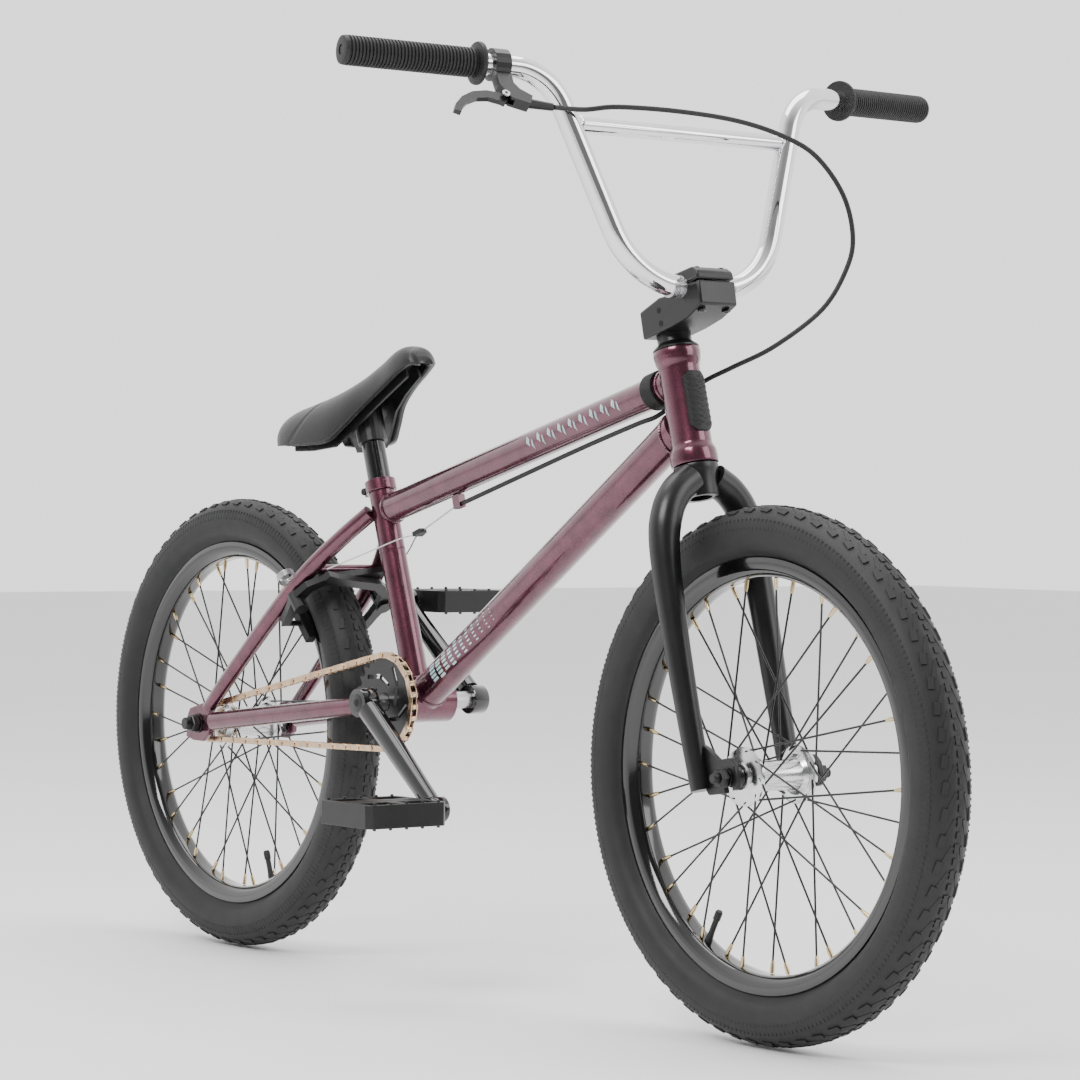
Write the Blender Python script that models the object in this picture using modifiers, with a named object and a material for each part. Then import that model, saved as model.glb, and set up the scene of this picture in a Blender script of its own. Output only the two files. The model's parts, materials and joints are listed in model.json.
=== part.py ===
"""BMX bike, modelled as the separate pieces a bench strip-down would give.

Frame of reference: +X is forward, +Y is the rider's left, +Z is up, and the origin is on the ground
midway between the two tyre contact points.  Metres throughout.
"""
import math

import bmesh
import bpy
from mathutils import Matrix, Vector

# ------------------------------------------------------------------ driving dimensions (metres)
GAP = 0.0004                      # clearance between pieces that touch
WHEELBASE = 0.930
WHEEL_RADIUS = 0.260              # 20 x 2.4 tyre on an ISO 406 rim
RIM_LIP_RADIUS = 0.2095
RIM_INNER_RADIUS = 0.1905
FRONT_TYRE_HALF = 0.0290
REAR_TYRE_HALF = 0.0272

HEAD_ANGLE = 74.5                 # degrees from the ground
FORK_OFFSET = 0.034
AXLE_TO_CROWN = 0.3175
HEAD_TUBE_LENGTH = 0.118
HEAD_TUBE_RADIUS = 0.0205
HEAD_TUBE_FLARE = 0.0238

BB_X, BB_Z = -0.112, 0.302        # bottom bracket centre
BB_RADIUS = 0.0235
BB_HALF = 0.034
CRANK_LENGTH = 0.175
CRANK_ANGLE = -36.5               # degrees, right arm, forward and down
CHAINLINE = -0.0455
PITCH = 0.0127                    # half-inch chain
SPROCKET_TEETH = 25
DRIVER_TEETH = 9

TOP_TUBE_RADIUS = 0.0159
DOWN_TUBE_RADIUS = 0.01905
SEAT_TUBE_RADIUS = 0.0143
TUBE_WALL = 0.0016
SEAT_TUBE_ANGLE = 71.4            # degrees from the ground
SEAT_TUBE_LENGTH = 0.2525
TOP_TUBE_AT_SEAT = 0.2165         # along the seat tube from the bottom bracket
TOP_TUBE_AT_HEAD = 0.0873         # along the head tube from its lower end
DOWN_TUBE_AT_HEAD = 0.0461
SEATSTAY_TOP = (-0.1845, 0.5085)  # x, z where the stays reach the seat tube
SEATSTAY_RADIUS = 0.0095
CHAINSTAY_RADIUS = 0.0105

FRONT_DROPOUT = 0.0500            # half of the 100 mm hub width
REAR_DROPOUT = 0.0550             # half of the 110 mm hub width
DROPOUT_THICKNESS = 0.006
SPOKES = 36
SPOKE_RADIUS = 0.0010
FLANGE_RADIUS = 0.0285

BAR_RADIUS = 0.0111
BAR_CENTRE = (0.0490, 0.1675)     # steering frame: forward of and above the crown race
BAR_LOW_CORNER = 0.0812           # half width where the bar turns up
BAR_HIGH_CORNER = (0.0638, 0.1589, 0.3751)
BAR_END = (0.0257, 0.3710, 0.3916)
CROSSBAR_AT = 0.752               # share of the way up the uprights
GRIP_RADIUS = 0.0145
GRIP_LENGTH = 0.143
POST_RADIUS = 0.0127

# ------------------------------------------------------------------ points worked out from them
REAR_AXLE = Vector((-WHEELBASE / 2, 0, WHEEL_RADIUS))
FRONT_AXLE = Vector((WHEELBASE / 2, 0, WHEEL_RADIUS))
BB = Vector((BB_X, 0, BB_Z))
HEAD_TILT = math.radians(HEAD_ANGLE - 90)
STEER_UP = Vector((math.sin(HEAD_TILT), 0, math.cos(HEAD_TILT)))
STEER_FORWARD = Vector((math.cos(HEAD_TILT), 0, -math.sin(HEAD_TILT)))
HEAD_LOW = FRONT_AXLE - STEER_FORWARD * FORK_OFFSET + STEER_UP * AXLE_TO_CROWN
SEAT_UP = Vector((-math.cos(math.radians(SEAT_TUBE_ANGLE)), 0, math.sin(math.radians(SEAT_TUBE_ANGLE))))
STAY_TOP = Vector((SEATSTAY_TOP[0], 0, SEATSTAY_TOP[1]))
STAY_LINE = (STAY_TOP - REAR_AXLE).normalized()
STAY_LENGTH = (STAY_TOP - REAR_AXLE).length
TOP_TUBE_START = BB + SEAT_UP * TOP_TUBE_AT_SEAT
TOP_TUBE_END = HEAD_LOW + STEER_UP * TOP_TUBE_AT_HEAD
TOP_TUBE_LINE = (TOP_TUBE_END - TOP_TUBE_START).normalized()
TOP_TUBE_SLOPE = math.atan2(TOP_TUBE_LINE.z, TOP_TUBE_LINE.x)
STOP_AXIS = TOP_TUBE_START + TOP_TUBE_LINE * 0.135
STOP_DROP = 0.0270                # cable's depth below the top tube's axis
STOP_POINT = STOP_AXIS + Vector((TOP_TUBE_LINE.z, 0, -TOP_TUBE_LINE.x)) * STOP_DROP
HANGER_POINT = Vector((-0.1150, 0, 0.4850))
SIDES = {"right": -1, "left": 1}

for old in list(bpy.data.objects):
    bpy.data.objects.remove(old, do_unlink=True)

parts = bpy.data.collections.new("bmx_bike")
guides = bpy.data.collections.new("cutters")
bpy.context.scene.collection.children.link(parts)
bpy.context.scene.collection.children.link(guides)


# ------------------------------------------------------------------ materials
def material(name, colour, roughness, metallic=0.0):
    made = bpy.data.materials.new(name)
    made.use_nodes = True
    shader = made.node_tree.nodes["Principled BSDF"]
    shader.inputs["Base Color"].default_value = (*colour, 1)
    shader.inputs["Roughness"].default_value = roughness
    shader.inputs["Metallic"].default_value = metallic
    return made


PLUM = material("plum_paint", (0.10, 0.03, 0.07), 0.25, 0.6)
CHROME = material("chrome", (0.8, 0.8, 0.8), 0.08, 1.0)
SILVER = material("polished_aluminium", (0.75, 0.75, 0.74), 0.2, 1.0)
STEEL = material("steel", (0.45, 0.45, 0.45), 0.3, 1.0)
SATIN_BLACK = material("satin_black", (0.012, 0.012, 0.013), 0.4, 0.3)
GLOSS_BLACK = material("gloss_black", (0.01, 0.01, 0.01), 0.12, 0.2)
PLASTIC = material("black_plastic", (0.015, 0.015, 0.015), 0.5)
RUBBER = material("rubber", (0.02, 0.02, 0.02), 0.8)
TYRE = material("tyre_rubber", (0.018, 0.018, 0.018), 0.75)
COVER = material("seat_cover", (0.02, 0.02, 0.02), 0.55)
GOLD = material("gold_chain", (0.65, 0.48, 0.33), 0.35, 0.9)


# ------------------------------------------------------------------ modelling helpers
def anchor(name, location, rotation=(0, 0, 0), parent=None):
    """An empty that marks a joint's axis."""
    empty = bpy.data.objects.new(name, None)
    empty.location = location
    empty.rotation_euler = rotation
    empty.parent = parent
    parts.objects.link(empty)
    return empty


def add(name, data, finish, parent=None, location=(0, 0, 0), turn=None):
    """Put one piece (or, with no finish, one cutter) in the scene."""
    made = bpy.data.objects.new(name, data)
    made.location = location
    if turn is not None:
        made.rotation_mode = "QUATERNION"
        made.rotation_quaternion = turn
    made.parent = parent
    if finish is None:
        guides.objects.link(made)
        made.hide_render = True
        made.display_type = "WIRE"
    else:
        parts.objects.link(made)
        data.materials.append(finish)
    return made


def smooth(mesh, angle=35):
    mesh.shade_smooth()
    mesh.set_sharp_from_angle(angle=math.radians(angle))


def finished(name, bm):
    mesh = bpy.data.meshes.new(name)
    bm.to_mesh(mesh)
    bm.free()
    smooth(mesh)
    return mesh


def rod(name, start, end, radius, finish, end_radius=None, sides=20, parent=None):
    """A round bar from start to end; its origin is at the start."""
    axis = Vector(end) - Vector(start)
    bm = bmesh.new()
    bmesh.ops.create_cone(bm, cap_ends=True, segments=sides, radius1=radius,
                          radius2=radius if end_radius is None else end_radius,
                          depth=axis.length, matrix=Matrix.Translation((0, 0, axis.length / 2)))
    return add(name, finished(name, bm), finish, parent, start, axis.to_track_quat("Z", "Y"))


def tube(name, start, end, radius, finish, wall=TUBE_WALL, sides=18):
    """A round tube, open at both ends."""
    length = (Vector(end) - Vector(start)).length
    outline = [(radius, length), (radius, 0), (radius - wall, 0), (radius - wall, length)]
    return turned(name, outline, finish, start, Vector(end) - Vector(start), steps=sides)


def turned(name, profile, finish, location=(0, 0, 0), axis=(0, 0, 1), steps=32, parent=None, closed=True):
    """A profile of (radius, height) points turned about an axis with a Screw modifier."""
    bm = bmesh.new()
    ring = [bm.verts.new((radius, 0, height)) for radius, height in profile]
    for first, second in zip(ring, ring[1:]):
        bm.edges.new((first, second))
    if closed:
        bm.edges.new((ring[-1], ring[0]))
    made = add(name, finished(name, bm), finish, parent, location, Vector(axis).to_track_quat("Z", "Y"))
    screw = made.modifiers.new("turn", "SCREW")
    screw.axis = "Z"
    screw.steps = steps
    screw.render_steps = steps
    screw.use_merge_vertices = True
    screw.merge_threshold = 0.00005
    screw.use_smooth_shade = True
    return made


def solid_turned(name, profile, finish, **where):
    """A turned piece whose profile starts and ends on the axis."""
    return turned(name, [(0, profile[0][1])] + profile + [(0, profile[-1][1])], finish, closed=False, **where)


def wire(name, points, radius, finish, parent=None, radii=None, resolution=2, capped=True):
    """A round wire, hose or bent tube through the points."""
    curve = bpy.data.curves.new(name, "CURVE")
    curve.dimensions = "3D"
    spline = curve.splines.new("POLY")
    spline.points.add(len(points) - 1)
    for index, point in enumerate(points):
        spline.points[index].co = (*point, 1)
        spline.points[index].radius = 1.0 if radii is None else radii[index]
    spline.use_smooth = True
    curve.bevel_depth = radius
    curve.bevel_resolution = resolution
    curve.use_fill_caps = capped
    return add(name, curve, finish, parent)


def plate(name, outlines, thickness, finish, parent=None, location=(0, 0, 0), turn=None):
    """A flat outline with holes, extruded to a thickness centred on its own XY plane."""
    curve = bpy.data.curves.new(name, "CURVE")
    curve.dimensions = "2D"
    for outline in outlines:
        spline = curve.splines.new("POLY")
        spline.points.add(len(outline) - 1)
        for index, (x, y) in enumerate(outline):
            spline.points[index].co = (x, y, 0, 1)
        spline.use_cyclic_u = True
    curve.fill_mode = "BOTH"
    curve.extrude = thickness / 2
    return as_mesh(add(name, curve, finish, parent, location, turn))


def as_mesh(made):
    """Replace a curve with a mesh of the same name, with its caps welded."""
    bpy.context.view_layer.update()
    graph = bpy.context.evaluated_depsgraph_get()
    mesh = bpy.data.meshes.new_from_object(made.evaluated_get(graph), depsgraph=graph)
    bm = bmesh.new()
    bm.from_mesh(mesh)
    bmesh.ops.remove_doubles(bm, verts=bm.verts, dist=0.00002)
    bmesh.ops.recalc_face_normals(bm, faces=bm.faces)
    bm.to_mesh(mesh)
    bm.free()
    smooth(mesh)
    name, parent, place = made.name, made.parent, made.matrix_world.copy()
    finish = mesh.materials[0] if mesh.materials else None
    mesh.materials.clear()
    bpy.data.objects.remove(made)
    mesh.name = name
    fresh = add(name, mesh, finish, parent)
    fresh.matrix_world = place
    return fresh


def block(name, low, high, finish, parent=None, bevel=0.0):
    """A box between two corners, with its long edges softened."""
    low, high = Vector(low), Vector(high)
    bm = bmesh.new()
    bmesh.ops.create_cube(bm, size=1.0, matrix=Matrix.Diagonal((*(high - low), 1)))
    made = add(name, finished(name, bm), finish, parent, (low + high) / 2)
    if bevel:
        soften = made.modifiers.new("soften", "BEVEL")
        soften.width = bevel
        soften.segments = 1
    return made


def boolean(made, other, operation):
    step = made.modifiers.new(operation.lower(), "BOOLEAN")
    step.operation = operation
    step.object = other
    step.solver = "EXACT"


def cut(made, *cutters):
    for cutter in cutters:
        boolean(made, cutter, "DIFFERENCE")


def join(made, *others):
    for other in others:
        boolean(made, other, "UNION")


def bent_path(corners, bend_radii, steps=5):
    """Straight runs through the corners, with each corner turned to an arc of its own radius."""
    corners = [Vector(corner) for corner in corners]
    points = [corners[0]]
    for before, corner, after, bend_radius in zip(corners, corners[1:], corners[2:], bend_radii):
        back = (before - corner).normalized()
        ahead = (after - corner).normalized()
        half = back.angle(ahead) / 2
        centre = corner + (back + ahead).normalized() * bend_radius / math.sin(half)
        first = corner + back * bend_radius / math.tan(half) - centre
        last = corner + ahead * bend_radius / math.tan(half) - centre
        points += [centre + first.slerp(last, step / steps).normalized() * bend_radius
                   for step in range(steps + 1)]
    return points + [corners[-1]]


def arc(centre_x, centre_y, radius, start, end, steps):
    """Points of an arc in a flat outline; angles in degrees."""
    turns = [math.radians(start + (end - start) * step / steps) for step in range(steps + 1)]
    return [(centre_x + radius * math.cos(turn), centre_y + radius * math.sin(turn)) for turn in turns]


def band(points, widths):
    """The outline of a flat bar that follows the points, as wide at each as its width says."""
    points = [Vector(point) for point in points]
    near, far = [], []
    for index, point in enumerate(points):
        along = points[min(index + 1, len(points) - 1)] - points[max(index - 1, 0)]
        side = Vector((-along.y, along.x)).normalized() * widths[index] / 2
        near.append(tuple(point + side))
        far.append(tuple(point - side))
    return near + far[::-1]


def smooth_route(points, steps):
    """A Catmull-Rom curve through hand-placed points."""
    points = [Vector(point) for point in points]
    padded = [2 * points[0] - points[1]] + points + [2 * points[-1] - points[-2]]
    route = []
    for a, b, c, d in zip(padded, padded[1:], padded[2:], padded[3:]):
        for step in range(steps):
            t = step / steps
            route.append(0.5 * (2 * b + (c - a) * t + (2 * a - 5 * b + 4 * c - d) * t ** 2
                                + (3 * b - a - 3 * c + d) * t ** 3))
    return route + [points[-1]]


# A flat outline stood on edge: its x is forward, its y is up, and its thickness runs across the bike.
UPRIGHT = Matrix.Rotation(math.radians(90), 3, "X").to_quaternion()


def head_point(height, forward=0.0, side=0.0):
    return HEAD_LOW + STEER_UP * height + STEER_FORWARD * forward + Vector((0, side, 0))


# ------------------------------------------------------------------ frame
def head_tube():
    flare, waist, bore, cup = HEAD_TUBE_FLARE, HEAD_TUBE_RADIUS, 0.0175, 0.0209
    top, depth = HEAD_TUBE_LENGTH, 0.0078
    profile = [(flare - 0.001, top), (flare, top - 0.001), (flare, top - 0.006), (waist, top - 0.020),
               (waist, 0.022), (flare, 0.012), (flare, 0.001), (flare - 0.001, 0),
               (cup, 0), (cup, depth), (bore, depth), (bore, top - depth), (cup, top - depth), (cup, top)]
    turned("head_tube", profile, PLUM, HEAD_LOW, STEER_UP, steps=20)
    for name, low in (("headset_bearing_lower", 0.0006), ("headset_bearing_upper", top - 0.0074)):
        ring = [(cup - GAP, low + 0.0066), (cup - GAP, low), (0.0148, low), (0.0148, low + 0.0066)]
        turned(name, ring, STEEL, HEAD_LOW, STEER_UP, steps=16)


def main_tubes():
    waist, flare, top = HEAD_TUBE_RADIUS + GAP, HEAD_TUBE_FLARE + GAP, HEAD_TUBE_LENGTH
    head_cut = solid_turned("head_cut", [(flare, top + 0.01), (flare, top - 0.006), (waist, top - 0.020),
                                         (waist, 0.022), (flare, 0.012), (flare, -0.01)],
                            None, location=HEAD_LOW, axis=STEER_UP, steps=20)
    shell_cut = rod("shell_cut", BB - Vector((0, 0.08, 0)), BB + Vector((0, 0.08, 0)), BB_RADIUS + GAP, None)
    seat_cut = rod("seat_cut", BB - SEAT_UP * 0.03, BB + SEAT_UP * (SEAT_TUBE_LENGTH + 0.02),
                   SEAT_TUBE_RADIUS + GAP, None)
    top = tube("top_tube", TOP_TUBE_START + TOP_TUBE_LINE * 0.006, TOP_TUBE_END, TOP_TUBE_RADIUS, PLUM)
    cut(top, head_cut, seat_cut)
    down = tube("down_tube", BB, head_point(DOWN_TUBE_AT_HEAD), DOWN_TUBE_RADIUS, PLUM)
    cut(down, head_cut, shell_cut, seat_cut)
    seat_top = BB + SEAT_UP * (SEAT_TUBE_LENGTH - 0.014)
    seat = tube("seat_tube", BB, seat_top, SEAT_TUBE_RADIUS, PLUM, wall=SEAT_TUBE_RADIUS - POST_RADIUS - GAP)
    cut(seat, shell_cut)
    shell_bore = 0.0207
    shell = [(BB_RADIUS, BB_HALF), (BB_RADIUS, -BB_HALF), (shell_bore, -BB_HALF), (shell_bore, BB_HALF)]
    turned("bb_shell", shell, PLUM, BB, (0, 1, 0), steps=20)
    for side, sign in SIDES.items():
        bearing = [(shell_bore - GAP, 0.008), (shell_bore - GAP, 0), (0.0099, 0), (0.0099, 0.008)]
        start = BB + Vector((0, sign * (BB_HALF - 0.009), 0))
        turned(f"bb_bearing_{side}", bearing, STEEL, start, (0, sign, 0), steps=14)
    return shell_cut, seat_cut


def seat_clamp():
    """The collar on top of the seat tube, with its pinch ears and bolt at the back."""
    low = BB + SEAT_UP * (SEAT_TUBE_LENGTH - 0.0136)
    ring = [(0.0172, 0.0130), (0.0172, 0), (POST_RADIUS + GAP, 0), (POST_RADIUS + GAP, 0.0130)]
    clamp = turned("seat_clamp", ring, PLUM, low, SEAT_UP, steps=18)
    ears = block("clamp_ears", (0.0155, -0.0065, 0.001), (0.0235, 0.0065, 0.012), None, clamp)
    bolt = rod("clamp_bolt", (0.0195, -0.0115, 0.0065), (0.0195, 0.0115, 0.0065), 0.0034, None, sides=8,
               parent=clamp)
    join(clamp, ears, bolt)
    turn_back = Matrix.Rotation(math.atan2(SEAT_UP.x, SEAT_UP.z), 3, "Y") @ Matrix.Rotation(math.pi, 3, "Z")
    clamp.rotation_quaternion = turn_back.to_quaternion()


def rear_triangle(shell_cut, seat_cut):
    chainstay_line = (REAR_AXLE - BB).normalized()
    chainstay_run = [(0.010, 0.0225), (0.055, 0.0295), (0.130, 0.0415), (0.215, 0.0500), (0.325, 0.0580)]
    seatstay_run = [(0.0285, 0.0600), (0.080, 0.0595), (0.190, 0.0550), (0.265, 0.0480), (0.325, 0.0320),
                    (STAY_LENGTH - 0.005, 0.0150)]
    for side, sign in SIDES.items():
        route = smooth_route([BB + chainstay_line * run + Vector((0, sign * out, 0))
                              for run, out in chainstay_run], 2)
        chainstay = as_mesh(wire(f"chainstay_{side}", route, CHAINSTAY_RADIUS, PLUM, resolution=3))
        cut(chainstay, shell_cut)
        route = smooth_route([REAR_AXLE + STAY_LINE * run + Vector((0, sign * out, 0))
                              for run, out in seatstay_run], 2)
        radii = [min(1.0, 0.80 + 0.20 * step / 4) for step in range(len(route))]
        seatstay = as_mesh(wire(f"seatstay_{side}", route, SEATSTAY_RADIUS, PLUM, None, radii, 3))
        cut(seatstay, seat_cut)
        rear_dropout(side, sign)
    bridge = REAR_AXLE + STAY_LINE * 0.274
    rod("seatstay_bridge", bridge - Vector((0, 0.0292, 0)), bridge + Vector((0, 0.0292, 0)), 0.0055, PLUM,
        sides=12)


def rear_dropout(side, sign):
    """A plate with a slot open to the rear, reaching up the seatstay and along the chainstay."""
    slot, web = 0.0075, 0.0205
    outline = [(-0.024, slot), (0.003, slot)] + arc(0.003, 0, slot, 60, -60, 3) + [(0.003, -slot)]
    outline += [(-0.024, -slot), (-0.026, -web + 0.004), (-0.010, -web), (0.010, -web), (0.0225, -0.012)]
    outline += [(0.0240, 0.004), (0.0215, 0.0165), (0.008, web + 0.003), (-0.018, web - 0.004)]
    face = REAR_DROPOUT + DROPOUT_THICKNESS / 2
    plate(f"dropout_{side}", [outline], DROPOUT_THICKNESS, PLUM, None, REAR_AXLE + Vector((0, sign * face, 0)),
          UPRIGHT)


def small_frame_parts():
    strap = TOP_TUBE_END - TOP_TUBE_LINE * 0.0265
    inner = TOP_TUBE_RADIUS + GAP
    ring = [(inner + 0.0028, 0.017), (inner + 0.0028, 0), (inner, 0), (inner, 0.017)]
    turned("top_tube_strap", ring, RUBBER, strap, -TOP_TUBE_LINE, steps=18)
    badge_low, badge_high, badge_half = 0.030, 0.092, 0.0135
    across = badge_half / HEAD_TUBE_RADIUS
    outline = []
    inner, outer = HEAD_TUBE_RADIUS + GAP, HEAD_TUBE_RADIUS + 0.0042
    outline += arc(0, 0, outer, -math.degrees(across), math.degrees(across), 6)
    outline += arc(0, 0, inner, math.degrees(across), -math.degrees(across), 6)
    turn = Matrix.Rotation(HEAD_TILT, 3, "Y").to_quaternion()
    plate("head_badge", [outline], badge_high - badge_low, RUBBER, None,
          head_point((badge_low + badge_high) / 2), turn)
    frame = anchor("cable_stop_frame", STOP_AXIS, (0, -TOP_TUBE_SLOPE, 0))
    stop = block("cable_stop", (-0.0060, -0.0042, -STOP_DROP - 0.0035), (0.0060, 0.0042, -TOP_TUBE_RADIUS - GAP),
                 PLUM, frame)
    bore = rod("stop_bore", (-0.02, 0, -STOP_DROP), (0.02, 0, -STOP_DROP), 0.0013, None, sides=8, parent=frame)
    cut(stop, bore)


# ------------------------------------------------------------------ wheels
def tyre(name, hub, half):
    """A tyre's open section: tread, sidewalls and the two beads inside the rim's lips."""
    crown, wide = WHEEL_RADIUS, WHEEL_RADIUS - 0.0285
    outer = [(crown, 0.006), (crown - 0.0045, 0.0155), (crown - 0.0140, half - 0.0035), (wide, half),
             (0.2190, half - 0.0035), (0.2100, 0.0137), (0.2045, 0.0137)]
    inner = [(0.2045, 0.0107), (0.2130, 0.0120), (wide, half - 0.0045), (crown - 0.0080, 0.010)]
    left = outer[::-1]
    right = [(radius, -y) for radius, y in outer]
    right_inner = [(radius, -y) for radius, y in inner]
    left_inner = inner[::-1]
    profile = left + right + right_inner + left_inner
    turned(name, profile, TYRE, hub, (0, 1, 0), steps=32)


def rim(name, hub):
    lip, well, inner = RIM_LIP_RADIUS, 0.2015, RIM_INNER_RADIUS
    left = [(inner, 0.0095), (0.1975, 0.0160), (lip, 0.0160), (lip, 0.0142), (well, 0.0142)]
    right = [(radius, -y) for radius, y in left[::-1]]
    turned(name, left + right, GLOSS_BLACK, hub, (0, 1, 0), steps=32)


def spoked_hub(name, hub, profile, flanges, finish):
    """The hub shell with its spokes, laced three cross, in one piece."""
    shell = turned(name, profile, finish, hub, (0, 1, 0), steps=16)
    bm = bmesh.new()
    per_side = SPOKES // 2
    reach = RIM_INNER_RADIUS - 0.0012
    for flange, inward in flanges:
        for index in range(per_side):
            lead = 1 if index % 2 else -1
            rim_turn = 2 * math.pi * (2 * index + (flange > 0)) / SPOKES
            hub_turn = rim_turn + lead * math.radians(62)
            # The shell's own frame has its axis along Z, which is the bike's +Y.
            head = Vector((FLANGE_RADIUS - 0.004, 0, 0))
            head.rotate(Matrix.Rotation(hub_turn, 3, "Z"))
            head.z = flange + lead * 0.0016
            tip = Vector((reach, 0, 0))
            tip.rotate(Matrix.Rotation(rim_turn, 3, "Z"))
            tip.z = inward + lead * 0.0006
            axis = tip - head
            place = Matrix.Translation((head + tip) / 2) @ axis.to_track_quat("Z", "Y").to_matrix().to_4x4()
            bmesh.ops.create_cone(bm, cap_ends=True, segments=3, radius1=SPOKE_RADIUS, radius2=SPOKE_RADIUS,
                                  depth=axis.length, matrix=place)
    spokes = add(f"{name}_spokes", finished(f"{name}_spokes", bm), None, shell)
    join(shell, spokes)


def front_wheel():
    tyre("front_tyre", FRONT_AXLE, FRONT_TYRE_HALF)
    rim("front_rim", FRONT_AXLE)
    bore, barrel, wide = 0.0056, 0.0150, 0.0335
    half = [(0.0125, 0.0400), (0.0125, 0.0370), (FLANGE_RADIUS - 0.006, wide + 0.0022),
            (FLANGE_RADIUS, wide + 0.0016), (FLANGE_RADIUS, wide - 0.0016), (0.0200, wide - 0.0022),
            (barrel, 0.0240)]
    profile = half + [(radius, -y) for radius, y in half[::-1]] + [(bore, -0.0400), (bore, 0.0400)]
    spoked_hub("front_hub", FRONT_AXLE, profile, ((wide, 0.004), (-wide, -0.004)), SILVER)


def rear_wheel():
    tyre("rear_tyre", REAR_AXLE, REAR_TYRE_HALF)
    rim("rear_rim", REAR_AXLE)
    bore, barrel = 0.0076, 0.0170
    left, right = 0.0360, -0.0235
    profile = [(0.0150, 0.0450), (0.0150, 0.0400), (0.0225, left + 0.0022), (FLANGE_RADIUS, left + 0.0016),
               (FLANGE_RADIUS, left - 0.0016), (0.0215, left - 0.0022), (barrel, 0.0250),
               (barrel, -0.0150), (0.0230, right + 0.0022), (FLANGE_RADIUS, right + 0.0016),
               (FLANGE_RADIUS, right - 0.0016), (0.0225, right - 0.0022), (0.0200, -0.0330),
               (0.0150, -0.0345), (bore, -0.0345), (bore, 0.0450)]
    spoked_hub("rear_hub", REAR_AXLE, profile, ((left, 0.004), (right, -0.004)), SILVER)


def axle(name, hub, radius, reach, face, nut, cone_end, parent=None):
    """A threaded axle with its two cones and its two nuts."""
    made = rod(name, hub - Vector((0, reach, 0)), hub + Vector((0, reach, 0)), radius, SATIN_BLACK, sides=12,
               parent=parent)
    for side, sign in SIDES.items():
        inside = (0, 0, reach + sign * (cone_end + GAP))
        outside = (0, 0, reach + sign * (face - GAP))
        cone = rod(f"{name}_cone_{side}", inside, outside, radius * 1.9, None, end_radius=radius * 2.0,
                   sides=12, parent=made)
        start = (0, 0, reach + sign * (face + DROPOUT_THICKNESS + GAP))
        end = (0, 0, reach + sign * (face + DROPOUT_THICKNESS + 0.0110))
        hexagon = rod(f"{name}_nut_{side}", start, end, nut, None, sides=6, parent=made)
        join(made, cone, hexagon)


# ------------------------------------------------------------------ drivetrain
def pitch_radius(teeth):
    return PITCH / 2 / math.sin(math.pi / teeth)


def toothed(teeth, bore):
    """The outline of a chainwheel: four points a tooth, and its bore."""
    pitch = pitch_radius(teeth)
    outline = []
    for tooth in range(teeth):
        for share, radius in ((-0.16, pitch - 0.0040), (0.16, pitch - 0.0040), (0.42, pitch + 0.0020),
                              (0.58, pitch + 0.0020)):
            turn = 2 * math.pi * (tooth + share) / teeth
            outline.append((radius * math.cos(turn), radius * math.sin(turn)))
    return [outline, arc(0, 0, bore, 0, 337.5, 15)]


def chain_loop(offset):
    """A flat outline round both chainwheels, offset from the chain's pitch line."""
    big, small = pitch_radius(SPROCKET_TEETH) + offset, pitch_radius(DRIVER_TEETH) + offset
    span = REAR_AXLE - BB
    lean = math.degrees(math.asin((big - small) / span.length))
    facing = math.degrees(math.atan2(span.z, span.x))
    wrap = 90 - lean
    front = arc(0, 0, big, facing + 180 - (180 - wrap), facing + 180 + (180 - wrap), 16)
    back = arc(span.x, span.z, small, facing - wrap, facing + wrap, 8)
    return front + back


def drivetrain():
    centre = Vector((0, CHAINLINE, 0))
    chain = plate("chain", [chain_loop(0.0043), chain_loop(-0.0043)], 0.0088, GOLD, None, BB + centre, UPRIGHT)
    groove = plate("chain_groove", [chain_loop(0.0030), chain_loop(-0.0060)], 0.0042, None, None,
                   BB + centre, UPRIGHT)
    cut(chain, groove)
    plate("sprocket", toothed(SPROCKET_TEETH, 0.0101), 0.0030, SATIN_BLACK, None, BB + centre, UPRIGHT)
    plate("driver", toothed(DRIVER_TEETH, 0.0078), 0.0030, STEEL, None, REAR_AXLE + centre, UPRIGHT)
    cranks()


def cranks():
    reach = 0.0835
    rod("crank_spindle", BB - Vector((0, reach, 0)), BB + Vector((0, reach, 0)), 0.0095, STEEL,
        sides=16)
    tip = Vector((math.cos(math.radians(CRANK_ANGLE)), 0, math.sin(math.radians(CRANK_ANGLE)))) * CRANK_LENGTH
    for side, sign in SIDES.items():
        end = -sign * tip
        low, high = 0.0640, 0.0835
        arm = turned(f"crank_arm_{side}", [(0.0160, high), (0.0160, low), (0.0099, low), (0.0099, high)],
                     SATIN_BLACK, BB, (0, sign, 0), steps=16)
        inner, outer = sign * 0.0735, sign * 0.0790
        share = 0.0145 / CRANK_LENGTH
        blade = rod(f"crank_blade_{side}", BB + end * share + Vector((0, inner, 0)),
                    BB + end * 0.965 + Vector((0, outer, 0)), 0.0128, None, end_radius=0.0098, sides=12)
        eye = rod(f"crank_eye_{side}", BB + end + Vector((0, sign * 0.0695, 0)),
                  BB + end + Vector((0, sign * 0.0885, 0)), 0.0135, None, sides=14)
        hole = rod(f"crank_hole_{side}", BB + end + Vector((0, sign * 0.05, 0)),
                   BB + end + Vector((0, sign * 0.10, 0)), 0.0069, None, sides=12)
        bore = rod(f"crank_bore_{side}", BB, BB + Vector((0, sign * 0.1, 0)), 0.0099, None, sides=16)
        join(arm, blade, eye)
        cut(arm, hole, bore)
        pedal(side, sign, BB + end)


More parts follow.
